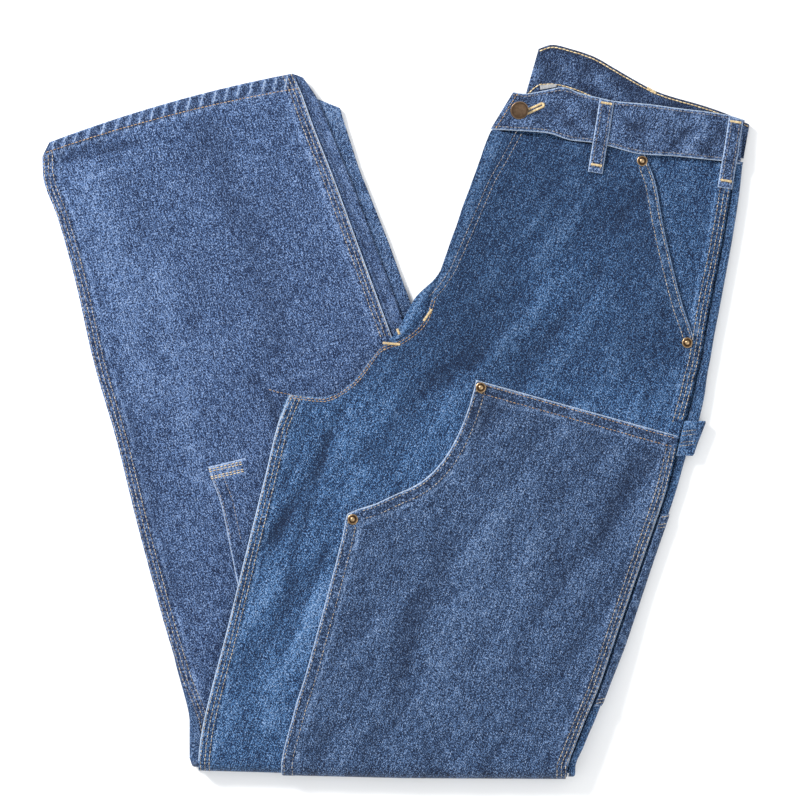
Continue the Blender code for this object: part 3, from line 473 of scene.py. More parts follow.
def fine_shares(left, right, margins):
    """Fine columns, with those of the margins beside both edges."""
    width = np.linalg.norm(right - left, axis=-1).max()
    return spread(left, right, margins, int((width - 2 * margins[-1]) / FINE))


def across(left, right, shares):
    points = left[:, None, :] + (right - left)[:, None, :] * shares[..., None]
    return points[..., 0], points[..., 1]


def raised(x, y, height):
    """Points at these places and heights."""
    return np.stack([x, y, height + 0 * x], axis=-1)


def sides(x, y):
    """How far each point of a grid is from its four sides: left, right, first row, last row."""
    step = np.hypot(np.diff(x, axis=1), np.diff(y, axis=1))
    left = np.concatenate([0 * x[:, :1], np.cumsum(step, axis=1)], axis=1)
    step = np.hypot(np.diff(x, axis=0), np.diff(y, axis=0))
    first = np.concatenate([0 * x[:1], np.cumsum(step, axis=0)])
    return left, left[:, -1:] - left, first, first[-1:] - first


def weave_place(x, y, turn):
    """Where a point is in the weave, whose warp runs at this angle from the y axis."""
    across_warp = x * np.cos(turn) + y * np.sin(turn)
    return np.stack([across_warp, y * np.cos(turn) - x * np.sin(turn)], axis=-1)


def streaks(x, y, size, seed):
    """Unevenness drawn out along the folds of the thigh, from upper right to lower left."""
    along_x, along_y = STREAK_WAY
    across_it = x * along_y - y * along_x
    along_it = x * along_x + y * along_y
    return ripple(across_it, along_it * STREAK_SHARE, size, seed)


def evenly(points, pitch):
    """Points at an even pitch along a path."""
    points = np.asarray(points, float)
    at = np.concatenate([[0], np.cumsum(np.linalg.norm(np.diff(points, axis=0), axis=1))])
    wanted = np.arange(0, at[-1], pitch)
    return np.stack([np.interp(wanted, at, column) for column in points.T], axis=1)


def inset(points, distance):
    """A path moved sideways, to its left where the distance is positive."""
    path = evenly(points, 2.0)
    along = np.gradient(path, axis=0)
    along = along / np.linalg.norm(along, axis=1)[:, None]
    return path + np.stack([-along[:, 1], along[:, 0]], axis=1) * distance


# Where the two stacks are

def first_line(rows):
    """Line through the first point of each row: an inseam, a left edge or a lower edge."""
    return np.stack(rows[0:2], axis=1)


def second_line(rows):
    return np.stack(rows[2:4], axis=1)


inseam = first_line
outseam = second_line


def inward(rows):
    """Way from the outseam to the inseam of each row."""
    full = inseam(rows) - outseam(rows)
    return full / np.linalg.norm(full, axis=1)[:, None]


def row_at(rows, table, number):
    """Number of the smooth row that stands for a row of the table."""
    gaps = np.abs(rows.inseam_x - table[number].inseam_x)
    gaps = gaps + np.abs(rows.inseam_y - table[number].inseam_y)
    return int(gaps.argmin())


PATH_ROWS = stations(THIGH, PATH_SPACING)
THIGH_ROWS = stations(THIGH, FINE)
SHIN_PATH_ROWS = stations(SHIN, PATH_SPACING)
SHIN_ROWS = stations(SHIN, FINE)
OUTSEAM_PATH = outseam(PATH_ROWS)
INSEAM_PATH = inseam(PATH_ROWS)
LEG_INSEAM_PATH = INSEAM_PATH[row_at(PATH_ROWS, THIGH, INSEAM_TOP_ROW):]
EDGE_PATH = OUTSEAM_PATH + np.stack([PATH_ROWS.strip, 0 * PATH_ROWS.strip], axis=1)
SHIN_INSEAM_PATH = inseam(SHIN_PATH_ROWS)
SHIN_OUTSEAM_PATH = outseam(SHIN_PATH_ROWS)
OPEN_ROWS = cut(PATH_ROWS, 0, row_at(PATH_ROWS, THIGH, FACING_END_ROW))
SLASH_PATH = outseam(OPEN_ROWS) - np.stack([OPEN_ROWS.slash, -0.13 * OPEN_ROWS.slash], axis=1)


def fold_start(x):
    """Where the cloth starts to turn round the knee."""
    line = np.array(FOLD_LINE)
    return np.interp(x, line[:, 0], line[:, 1]) + FOLD_REACH


def folds_at(folds, x, y):
    total = 0.0 * x
    for fold in folds:
        path = ((fold.start_x, fold.start_y), (fold.end_x, fold.end_y))
        away = distance_to(path, x, y) / fold.width
        total = total + fold.height * np.exp(-away * away * 2)
    return total


def side_of_shin_edge(x, y):
    start, end = np.array(SHIN_EDGE)
    along = (end - start) / np.linalg.norm(end - start)
    return (x - start[0]) * along[1] - (y - start[1]) * along[0]


def over_shin(x, y, width, margin=0.0):
    """1 where the thighs lie on the shins, falling to 0 at this width past their edge."""
    over = smooth((side_of_shin_edge(x, y) + margin + width) / width)
    at_knee = smooth((KNEE_SPAN - (y - fold_start(x))) / KNEE_SPAN)
    return np.maximum(over, at_knee)


def thigh_creases(x, y):
    wide, small = THIGH_STIRS
    fine = wide.height * streaks(x, y, wide.size, 3) + small.height * streaks(x, y, small.size, 4)
    return folds_at(THIGH_CREASES, x, y) + fine * THIGH_STIR


def thigh_top(x, y, plain=False):
    """Height of the thigh's top face. What lies well under it follows its large folds only."""
    near = np.minimum(distance_to(INSEAM_PATH, x, y), distance_to(EDGE_PATH, x, y))
    droop = EDGE_DROOP * np.clip(1 - near / EDGE_REACH, 0, 1) ** 2
    soft = smooth(near / EDGE_REACH)
    folds = folds_at(THIGH_FOLDS, x, y)
    if not plain:
        folds = folds + thigh_creases(x, y)
    return LOW_TOP + over_shin(x, y, DRAPE_WIDTH) * SLOT_TOP - droop + soft * folds


def pucker(away, along, seed):
    """Unevenness of a sewn seam, from the ropes and dimples that its stitches pull."""
    rope = np.sin(along * 2 * pi / ROPE_PITCH + 2.2 * ripple(along, away, 40, seed))
    return 0.16 * rope + 0.12 * ripple(along * 2.2, away * 2, 12, seed + 1)


def felled(away, along, seed):
    """Height of a felled seam over its panel, at this distance inside its folded edge."""
    body = 1 - smooth((away - SEAM_WIDTH) / 1.5)
    lip = smooth(away / 1.1) * 0.3 + 0.7
    return SEAM_RISE * body * lip + body * smooth(away / 2) * pucker(away, along, seed)


def thigh_relief(x, y):
    """Rise of the felled outseam and inseam, the fly and the pocket's edge over the panel."""
    to_outseam = distance_to(OUTSEAM_PATH, x, y)
    to_inseam = distance_to(LEG_INSEAM_PATH, x, y)
    rise = np.maximum(felled(to_outseam, y, 11), felled(to_inseam, y, 21))
    to_slash = distance_to(SLASH_PATH, x, y)
    pocket = 0.6 * (1 - smooth((to_slash - 9.5) / 1.2)) * smooth((y - 40) / 20)
    fly = 0.3 * (1 - smooth((distance_to(INSEAM_PATH, x, y) - FLY_WIDTH) / 3))
    fly = fly * smooth((y - FLY_END_Y) / 12)
    return np.maximum(rise, np.maximum(pocket, fly))


def on_thigh(x, y, depth=0.0):
    """Points this deep under the thigh's top face. Past the knee fold the face turns under."""
    start = fold_start(x)
    turn = np.clip((start - y) / TURN_LENGTH, 0, 1) * pi
    flat_y = np.maximum(y, start)
    half = thigh_top(x, flat_y) / 2
    return np.stack(
        [
            x + 0 * y,
            flat_y - (FOLD_REACH - depth) * np.sin(turn),
            half + (half - depth) * np.cos(turn),
        ],
        axis=-1,
    )


def fading(x, y):
    """1 on the thigh, falling to 0 round the knee fold, where the seams lie flat."""
    turn = np.clip((fold_start(x) - y) / TURN_LENGTH, 0, 1) * pi
    return (1 + np.cos(turn)) / 2


def with_turn(x, y, reach=1.0, count=14):
    """More rows for the turn round the knee, in places measured along the cloth."""
    y = np.array(y)
    y[-1] = fold_start(x[-1])
    steps = np.linspace(0, reach, count + 1)[1:, None] * TURN_LENGTH
    x_more = np.repeat(x[-1:], count, axis=0)
    return np.concatenate([x, x_more]), np.concatenate([y, y[-1:] - steps])


def shin_creases(x, y):
    wide, small = SHIN_STIRS
    fine = wide.height * ripple(x, y * 0.4, wide.size, 5)
    fine = fine + small.height * ripple(x, y * 0.5, small.size, 6)
    return folds_at(SHIN_CREASES, x, y) + fine


def shin_top(x, y, plain=False):
    near = distance_to(SHIN_INSEAM_PATH, x, y)
    droop = SHIN_EDGE_DROOP * np.clip(1 - near / EDGE_REACH, 0, 1) ** 2
    folds = folds_at(SHIN_FOLDS, x, y)
    if not plain:
        folds = folds + SHIN_CREASE_DEPTH * shin_creases(x, y)
    return SHIN_TOP - droop + smooth(near / EDGE_REACH) * folds


def shin_relief(x, y):
    to_inseam = distance_to(SHIN_INSEAM_PATH, x, y)
    to_outseam = distance_to(SHIN_OUTSEAM_PATH, x, y)
    right = felled(to_outseam, y, 31) * (y > HIDDEN_SEAM)
    return np.maximum(felled(to_inseam, y, 41), right)


# Meshes

def picks(count, step):
    """Every so many of a row of points, with the last one."""
    wanted = list(range(0, count, step))
    if wanted[-1] != count - 1:
        wanted.append(count - 1)
    return wanted


def quads(grid):
    corners = (grid[:-1, :-1], grid[:-1, 1:], grid[1:, 1:], grid[1:, :-1])
    return np.stack(corners, axis=-1).reshape(-1, 4).tolist()


def rim(fine, coarse, wanted):
    """Faces that join a fine line of points to a coarse one."""
    made = []
    for k, (start, end) in enumerate(zip(wanted, wanted[1:])):
        made.append([int(p) for p in fine[start:end + 1]] + [int(coarse[k + 1]), int(coarse[k])])
    return made


def add_piece(name, points, faces, finish, marks=None, uv=None, sharp=0.9):
    """An object from points in millimetres, with its marks as attributes."""
    mesh = bpy.data.meshes.new(name)
    mesh.from_pydata((np.asarray(points) * MM).tolist(), [], faces)
    work = bmesh.new()
    work.from_mesh(mesh)
    bmesh.ops.recalc_face_normals(work, faces=work.faces)
    work.to_mesh(mesh)
    work.free()
    for mark, values in (marks or {}).items():
        attribute = mesh.attributes.new(mark, "FLOAT", "POINT")
        attribute.data.foreach_set("value", np.asarray(values, np.float32).ravel())
    if uv is not None:
        layer = mesh.uv_layers.new(name="UVMap")
        corner = np.zeros(len(mesh.loops), np.int32)
        mesh.loops.foreach_get("vertex_index", corner)
        layer.data.foreach_set("uv", (np.asarray(uv) * MM)[corner].astype(np.float32).ravel())
    mesh.shade_smooth()
    mesh.set_sharp_from_angle(angle=sharp)
    mesh.materials.append(finish)
    made = bpy.data.objects.new(name, mesh)
    bpy.context.scene.collection.objects.link(made)
    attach(made, "root")
    return made


def cloth(name, outer, inner, finish, marks, uv, step=UNDER_STEP):
    """A closed shell of cloth: a fine outer face and a coarser inner one, joined round the rim."""
    rows = picks(outer.shape[0], step)
    columns = picks(outer.shape[1], step)
    top = np.arange(outer.shape[0] * outer.shape[1]).reshape(outer.shape[:2])
    under = top.size + np.arange(len(rows) * len(columns)).reshape(len(rows), len(columns))
    faces = quads(top) + quads(under)
    faces += rim(top[0], under[0], columns) + rim(top[-1], under[-1], columns)
    faces += rim(top[:, 0], under[:, 0], rows) + rim(top[:, -1], under[:, -1], rows)
    few = np.ix_(rows, columns)
    points = np.concatenate([outer.reshape(-1, 3), inner[few].reshape(-1, 3)])
    every = {
        mark: np.concatenate([values.ravel(), values[few].ravel()])
        for mark, values in marks.items()
    }
    places = np.concatenate([uv.reshape(-1, 2), uv[few].reshape(-1, 2)])
    return add_piece(name, points, faces, finish, every, places)


def declare(node):
    """Hides the model's node that a sheet replaces."""
    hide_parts(node)


def marks_of(x, wear=0.0, shade=0.0, seam=0.0):
    zero = np.zeros(x.shape)
    return {
        "wear": np.clip(zero + wear, 0, 1),
        "shade": np.clip(zero + shade, 0, 1),
        "seam": np.clip(zero + seam, 0, 1),
    }


def ring_faces(first, rings, sections):
    """Faces of a closed tube made of rings of points, with its two ends."""
    faces = []
    for ring in range(rings - 1):
        here = first + ring * sections
        for k in range(sections):
            other = (k + 1) % sections
            faces.append([here + k, here + other, here + sections + other, here + sections + k])
    for start in (first, first + (rings - 1) * sections):
        faces.append([start + k for k in range(sections)])
    return faces


def ring(centre, side, up, radius):
    """Points round a piece of thread."""
    angles = np.arange(THREAD_SIDES) * 2 * pi / THREAD_SIDES
    return [centre + (side * np.cos(angle) + up * np.sin(angle)) * radius for angle in angles]


def stitches(name, lines, finish, radius=THREAD, length=STITCH, pitch=PITCH):
    """Sewn lines as single stitches. Each line gives its path and the face that it lies on."""
    points = []
    faces = []
    tones = []
    draws = np.random.default_rng(len(lines) * 7 + 5)
    for path, face in lines:
        starts = evenly(path, pitch)
        if len(starts) < 2:
            continue
        along = np.gradient(starts, axis=0)
        along = along / np.linalg.norm(along, axis=1)[:, None]
        low = face(starts[:, 0], starts[:, 1])
        high = face(*(starts + along * length).T)
        for k, start in enumerate(low):
            run = high[k] - start
            run_length = np.linalg.norm(run)
            if run_length < SHORTEST_STITCH:
                continue
            forward = run / run_length
            side = np.cross(forward, (0, 0, 1))
            if np.linalg.norm(side) < 0.2:
                side = np.array((along[k][1], -along[k][0], 0))
            side = side / np.linalg.norm(side)
            up = np.cross(side, forward)
            wander = draws.uniform(-0.12, 0.12)
            first = len(points)
            for share, size, lift in STITCH_SHAPE:
                centre = start + run * share + up * (lift * radius) + side * wander
                points += ring(centre, side, up, radius * size)
            faces += ring_faces(first, len(STITCH_SHAPE), THREAD_SIDES)
            tones += [draws.uniform(0, 1)] * (THREAD_SIDES * len(STITCH_SHAPE))
    piece = add_piece(name, points, faces, finish, {"tone": np.array(tones)}, sharp=1.4)


# Materials

def new_material(name, roughness, metallic=0.0):
    made = bpy.data.materials.new(name)
    made.use_nodes = True
    shader = made.node_tree.nodes["Principled BSDF"]
    shader.inputs["Roughness"].default_value = roughness
    shader.inputs["Metallic"].default_value = metallic
    return made, made.node_tree, shader


def put(socket, value, tree):
    if isinstance(value, bpy.types.NodeSocket):
        tree.links.new(value, socket)
    else:
        socket.default_value = value


def maths(tree, operation, first, second=0.0, third=0.0):
    made = tree.nodes.new("ShaderNodeMath")
    made.operation = operation
    for socket, value in zip(made.inputs, (first, second, third)):
        put(socket, value, tree)
    return made.outputs[0]


def noise(tree, place, size, detail=2.0, roughness=0.55):
    """Noise whose bumps are about this many millimetres across."""
    made = tree.nodes.new("ShaderNodeTexNoise")
    put(made.inputs["Vector"], place, tree)
    made.inputs["Scale"].default_value = 1 / (size * MM)
    made.inputs["Detail"].default_value = detail
    made.inputs["Roughness"].default_value = roughness
    return made.outputs["Fac"]


def mapped(tree, place, turn=0.0, scale=(1, 1, 1), shift=(0, 0, 0)):
    made = tree.nodes.new("ShaderNodeMapping")
    put(made.inputs["Vector"], place, tree)
    made.inputs["Rotation"].default_value = (0, 0, radians(turn))
    made.inputs["Scale"].default_value = scale
    made.inputs["Location"].default_value = shift
    return made.outputs["Vector"]


def ramp(tree, value, stops):
    made = tree.nodes.new("ShaderNodeValToRGB")
    put(made.inputs["Fac"], value, tree)
    elements = made.color_ramp.elements
    while len(elements) < len(stops):
        elements.new(0.5)
    for element, (at, colour) in zip(elements, stops):
        element.position = at
        element.color = (*colour, 1)
    return made.outputs["Color"]


def mixed(tree, share, first, second):
    made = tree.nodes.new("ShaderNodeMix")
    made.data_type = "RGBA"
    put(made.inputs[0], share, tree)
    put(made.inputs[6], (*first, 1) if isinstance(first, tuple) else first, tree)
    put(made.inputs[7], (*second, 1) if isinstance(second, tuple) else second, tree)
    return made.outputs[2]


def mark(tree, name):
    made = tree.nodes.new("ShaderNodeAttribute")
    made.attribute_name = name
    return made.outputs["Fac"]


def bumped(tree, shader, height, distance, strength=1.0):
    made = tree.nodes.new("ShaderNodeBump")
    made.inputs["Strength"].default_value = strength
    made.inputs["Distance"].default_value = distance * MM
    put(made.inputs["Height"], height, tree)
    tree.links.new(made.outputs["Normal"], shader.inputs["Normal"])


# Sizes in the weave, in millimetres, and how much each part adds to the cloth's lightness
GRAIN, GRAIN_SHARE = 1.15, 2.2
FLECK, FLECK_SHARE = 0.62, 1.4
SLUB, SLUB_SHARE = 1.6, 0.7
CLOUD, CLOUD_SHARE = 34, 0.08
MOTTLE, MOTTLE_SHARE = 9, 0.16
ROPE, ROPE_SHARE, ROPE_MIDDLE = 2.6, 1.1, 0.56
TWILL_SHARE = 0.16
TWILL_TURN = 38.0
TWILL_SCALE = 0.31
# Shares of the marks: the shade mark is mostly painted shade, the wear mark is wear and painted
# highlights
SHADE_SHARE = -0.06
SEAM_SHARE = 0.05
WEAR_SHARE = 0.42
WEAVE_MIDDLE = 2.41
TONE_REACH = 0.15
# Dark navy towards which the painted shade mixes
PAINTED_SHADE_NAVY = (0.0008, 0.0055, 0.022)
WHITE_YARN = (0.30, 0.36, 0.46)
BLEACHED = (0.42, 0.49, 0.58)


def denim(name, dark, middle, light, shift):
    """Washed warp-faced twill: salt and pepper of blue and white yarn, paler where it is worn and
    where a highlight is painted, darker where shade is painted.
    """
    made, tree, shader = new_material(name, 0.92)
    uv = tree.nodes.new("ShaderNodeUVMap")
    uv.uv_map = "UVMap"
    place = mapped(tree, uv.outputs["UV"], shift=(shift, shift * 0.7, 0))
    warp = mapped(tree, place, scale=(1.25, 0.7, 1))
    grain = noise(tree, warp, GRAIN, 3.0, 0.75)
    wave = tree.nodes.new("ShaderNodeTexWave")
    wave.wave_type = "BANDS"
    put(wave.inputs["Vector"], mapped(tree, place, TWILL_TURN), tree)
    wave.inputs["Scale"].default_value = TWILL_SCALE / (GRAIN * MM)
    wave.inputs["Distortion"].default_value = 2.2
    wave.inputs["Detail"].default_value = 2.0
    wave.inputs["Detail Scale"].default_value = 2.0
    twill = wave.outputs["Fac"]
    # Marks of the mesh: wear with painted highlights, painted shade, and seams
    wear, shade, seam = (mark(tree, name) for name in ("wear", "shade", "seam"))
    rope = noise(tree, mapped(tree, place, scale=(1.0, 0.8, 1)), ROPE, 3.0, 0.7)
    rope = maths(tree, "MULTIPLY", maths(tree, "SUBTRACT", rope, ROPE_MIDDLE), seam)
    parts = (
        (noise(tree, warp, FLECK, 2.0, 0.6), FLECK_SHARE),
        (noise(tree, mapped(tree, place, scale=(1.0, 0.18, 1)), SLUB, 2.0, 0.6), SLUB_SHARE),
        (twill, TWILL_SHARE),
        (noise(tree, place, CLOUD, 3.0, 0.6), CLOUD_SHARE),
        (noise(tree, place, MOTTLE, 3.0, 0.6), MOTTLE_SHARE),
        (shade, SHADE_SHARE),
        (seam, SEAM_SHARE),
        (wear, WEAR_SHARE),
        (rope, ROPE_SHARE),
    )
    level = maths(tree, "MULTIPLY", grain, GRAIN_SHARE)
    for value, share in parts:
        level = maths(tree, "MULTIPLY_ADD", value, share, level)
    level = maths(tree, "SUBTRACT", level, WEAVE_MIDDLE - 0.5)
    stops = (
        (0.5 - TONE_REACH, dark),
        (0.5, middle),
        (0.5 + TONE_REACH, light),
        (0.98, WHITE_YARN),
    )
    colour = ramp(tree, level, stops)
    # Painted shade: the colour darkens towards navy by the shade mark
    colour = mixed(tree, maths(tree, "MULTIPLY", shade, 0.62), colour, PAINTED_SHADE_NAVY)
    bleached = maths(tree, "MULTIPLY", smooth_step(tree, wear, 0.55, 1.0), 0.8)
    colour = mixed(tree, bleached, colour, BLEACHED)
    tree.links.new(colour, shader.inputs["Base Color"])
    rough = maths(tree, "MULTIPLY_ADD", grain, 0.12, 0.84)
    tree.links.new(rough, shader.inputs["Roughness"])
    shader.inputs["Specular IOR Level"].default_value = 0.22
    shader.inputs["Sheen Weight"].default_value = 0.12
    shader.inputs["Sheen Roughness"].default_value = 0.5
    height = maths(tree, "MULTIPLY_ADD", twill, 0.3, grain)
    height = maths(tree, "MULTIPLY_ADD", rope, 2.0, height)
    bumped(tree, shader, height, 0.55, 0.8)
    return made


def smooth_step(tree, value, low, high):
    made = tree.nodes.new("ShaderNodeMapRange")
    made.interpolation_type = "SMOOTHSTEP"
    put(made.inputs["Value"], value, tree)
    made.inputs["From Min"].default_value = low
    made.inputs["From Max"].default_value = high
    return made.outputs["Result"]


def thread(name, dark, light):
    """Twisted polyester-cotton thread, each stitch of its own tone."""
    made, tree, shader = new_material(name, 0.6)
    place = tree.nodes.new("ShaderNodeTexCoord").outputs["Object"]
    twist = noise(tree, mapped(tree, place, 35, (1, 0.4, 1)), 0.35, 2.0, 0.6)
    blend = maths(tree, "MULTIPLY", twist, 0.5)
    blend = maths(tree, "MULTIPLY_ADD", mark(tree, "tone"), 0.6, blend)
    tree.links.new(ramp(tree, blend, ((0.15, dark), (0.85, light))), shader.inputs["Base Color"])
    rough = maths(tree, "MULTIPLY_ADD", twist, 0.3, 0.45)
    tree.links.new(rough, shader.inputs["Roughness"])
    shader.inputs["Sheen Weight"].default_value = 0.1
    bumped(tree, shader, twist, 0.12)
    return made


def aged_metal(name, dark, middle, bright, roughness):
    """Plated metal, dark in its hollows, rubbed bright on its crests."""
    made, tree, shader = new_material(name, roughness, 1.0)
    place = tree.nodes.new("ShaderNodeTexCoord").outputs["Object"]
    patina = noise(tree, place, 2.4, 4.0, 0.65)
    speck = noise(tree, place, 0.5, 2.0, 0.6)
    level = maths(tree, "MULTIPLY", mark(tree, "tone"), 0.6)
    level = maths(tree, "MULTIPLY_ADD", patina, 0.55, level)
    stops = ((0.15, dark), (0.5, middle), (0.85, bright))
    tree.links.new(ramp(tree, level, stops), shader.inputs["Base Color"])
    rough = maths(tree, "MULTIPLY_ADD", patina, 0.3, roughness - 0.15)
    tree.links.new(rough, shader.inputs["Roughness"])
    bumped(tree, shader, speck, 0.06)
    return made


def tape_finish():
    made, tree, shader = new_material("white_tape", 0.85)
    place = tree.nodes.new("ShaderNodeTexCoord").outputs["Object"]
    weave = noise(tree, mapped(tree, place, 20, (1, 0.5, 1)), 0.9, 3.0, 0.7)
    stops = ((0.3, (0.16, 0.17, 0.19)), (0.65, (0.34, 0.34, 0.34)))
    tree.links.new(ramp(tree, weave, stops), shader.inputs["Base Color"])
    bumped(tree, shader, weave, 0.2)
    return made


PANEL = denim(
    "panel_denim",
    (0.0011, 0.0077, 0.0314),
    (0.0063, 0.0296, 0.0883),
    (0.0758, 0.2077, 0.4452),
    0,
)
SHIN_DENIM = denim(
    "shin_denim",
    (0.0022, 0.0085, 0.0327),
    (0.0122, 0.0320, 0.0919),
    (0.1222, 0.2189, 0.4404),
    0.4,
)
PATCH_DENIM = denim(
    "patch_denim_cloth",
    (0.0020, 0.0079, 0.0271),
    (0.0105, 0.0291, 0.0783),
    (0.0893, 0.1760, 0.3556),
    0.9,
)
BAND_DENIM = denim(
    "band_denim_cloth",
    (0.0017, 0.0069, 0.0246),
    (0.0102, 0.0278, 0.0784),
    (0.1130, 0.2067, 0.4137),
    1.3,
)
HIDDEN_DENIM = denim(
    "hidden_denim",
    (0.0019, 0.0082, 0.0313),
    (0.0101, 0.0308, 0.0885),
    (0.0962, 0.1932, 0.3925),
    1.8,
)
TAN_THREAD = thread("tan_thread", (0.09, 0.08, 0.085), (0.50, 0.42, 0.31))
ORANGE_THREAD = thread("orange_thread", (0.16, 0.09, 0.045), (0.46, 0.30, 0.15))
GOLD_THREAD = thread("gold_thread", (0.36, 0.24, 0.09), (0.74, 0.58, 0.33))
DULL_THREAD = thread("dull_thread", (0.05, 0.05, 0.07), (0.31, 0.28, 0.27))
RIVET_METAL = aged_metal(
    "antique_brass", (0.02, 0.012, 0.008), (0.11, 0.062, 0.032), (0.40, 0.28, 0.16), 0.36
)
BUTTON_METAL = aged_metal(
    "dark_bronze", (0.025, 0.016, 0.011), (0.075, 0.047, 0.029), (0.19, 0.125, 0.08), 0.40
)
WHITE_TAPE = tape_finish()


# Thigh stack

most = np.maximum


def edge_marks(away, width=1.3):
    """How much the folded edge of a seam has faded."""
    return np.clip(1 - away / width, 0, 1) ** 0.7


def seam_share(away):
    """1 on a sewn seam, falling to 0 past its inner row of stitches."""
    return 1 - smooth((away - 10.5) / 2)


def round_cloth(outer):
    """Distance of each point from the first column, measured round the folded cloth."""
    steps = np.linalg.norm(np.diff(outer, axis=1), axis=-1)
    return np.concatenate([0 * outer[:, :1, 0], np.cumsum(steps, axis=1)], axis=1)


def with_lip(lips, past, depth):
    """Columns round a folded edge, after the flat ones of the lip beside it."""
    flat = np.repeat(depth[:, :1], lips.shape[1], axis=1)
    return np.concatenate([lips, past], axis=1), np.concatenate([flat, depth], axis=1)


def with_tail(depth, count):
    return np.concatenate([depth, np.repeat(depth[:, -1:], count, axis=1)], axis=1)


def fold_marks(folds, creases):
    """Wear and a painted highlight on the crests, and painted shade in the troughs."""
    total = 0.55 * folds + 0.9 * creases
    return np.clip(total * 0.45, 0, 0.4), np.clip(-total * 1.0, 0, 1)


def thigh_marks(x, y):
    to_outseam = distance_to(OUTSEAM_PATH, x, y)
    to_inseam = distance_to(LEG_INSEAM_PATH, x, y)
    to_edge = distance_to(INSEAM_PATH, x, y)
    to_slash = distance_to(SLASH_PATH, x, y)
    flat_y = np.maximum(y, fold_start(x))
    # Fold crests get wear with a painted highlight, fold troughs get painted shade
    wear, shade = fold_marks(folds_at(THIGH_FOLDS, x, flat_y), thigh_creases(x, flat_y))
    seam = np.maximum(seam_share(to_outseam), seam_share(to_inseam))
    open_part = smooth((y - 50) / 15)
    seam = np.maximum(seam, 0.7 * (1 - smooth((to_slash - 9) / 2)) * open_part)
    wear = most(wear, 1.0 * edge_marks(to_inseam, 1.9))
    wear = most(wear, 0.75 * edge_marks(to_edge) * (1 - smooth((y - 40) / 50)))
    wear = most(wear, 0.75 * edge_marks(to_slash, 1.5) * open_part)
    strip = (1 - smooth((to_slash - 8) / 2)) * open_part
    wear = most(wear, (0.25 + 0.2 * ripple(x, y, 14, 29)) * strip)
    wear = most(wear, 0.95 * edge_marks(to_outseam, 2.2) * smooth((-40 - y) / 40))
    beside = np.exp(-((np.minimum(to_outseam, to_inseam) - 12.2) / 1.3) ** 2)
    wear = most(wear, (0.3 + 0.25 * ripple(x, y, 30, 9)) * beside)
    shade = most(shade, 0.12 * seam * (1 - wear))
    pale = np.exp(-((x - PALE_SPOT.x) ** 2 + (y - PALE_SPOT.y) ** 2) / PALE_REACH**2)
    upper = 0.62 * smooth((y + 10) / 80) * (1 - 0.85 * pale)
    shade = most(shade, upper)
    fly = np.exp(-((to_edge - 6) / 5) ** 2) * smooth((y - FLY_END_Y) / 20)
    wear = most(wear, (0.28 + 0.15 * ripple(x, y, 24, 19)) * fly)
    return marks_of(x, wear, shade, seam)


def left_front():
    rows = cut(THIGH_ROWS, row_at(THIGH_ROWS, THIGH, WAIST_ROW))
    left = inseam(rows)
    right = outseam(rows) + inward(rows) * rows.slash[:, None]
    x, y = across(left, right, fine_shares(left, right, SEAM_COLUMNS))
    x, y = with_turn(x, y)
    relief = thigh_relief(x, y) * fading(x, y)
    outer = on_thigh(x, y, -relief)
    inner = on_thigh(x, y, CLOTH)
    uv = weave_place(x, y, THIGH_WARP)
    piece = cloth("thigh_front", outer, inner, PANEL, thigh_marks(x, y), uv)
    declare("left_front_panel")


def pocket_facing():
    last = row_at(THIGH_ROWS, THIGH, FACING_END_ROW) + 1
    rows = cut(THIGH_ROWS, row_at(THIGH_ROWS, THIGH, WAIST_ROW), last)
    right = outseam(rows)
    full = inseam(rows) - right
    width = np.linalg.norm(full, axis=1)[:, None]
    slash = rows.slash[:, None]
    shown = np.linspace(0, 1, 40)[None, :] ** 1.2 * np.maximum(slash - 1, 1)
    tucked = slash + np.array([(0.5, 6, 12)])
    x, y = across(right, right + full, np.concatenate([shown, tucked], axis=1) / width)
    near = distance_to(OUTSEAM_PATH, x, y)
    flush = smooth((slash - 8) / 6) * (1 - smooth((near - SEAM_WIDTH) / 5))
    flush[:, shown.shape[1]:] = 0
    relief = felled(near, y, 11) * flush
    sag = 0.5 * smooth(near / 20) * smooth((slash - near) / 20)
    outer = on_thigh(x, y, LAYER * (1 - flush) - relief + sag * (1 - flush))
    inner = on_thigh(x, y, 2 * LAYER - PATCH_GAP)
    marks = thigh_marks(x, y)
    to_slash = distance_to(SLASH_PATH, x, y)
    keep = smooth((to_slash - 2) / 2)
    marks["wear"] = marks["wear"] * np.where(near < SEAM_REACH, 1, 0.4)
    marks["seam"] = np.where(near < 13, marks["seam"], 0)
    marks["shade"] = np.maximum(marks["shade"] * 0.5, 0.5 * (1 - keep) + 0.16)
    uv = weave_place(x, y, THIGH_WARP + 0.1)
    piece = cloth("side_pocket_facing", outer, inner, PANEL, marks, uv)
    declare("pocket_facing")


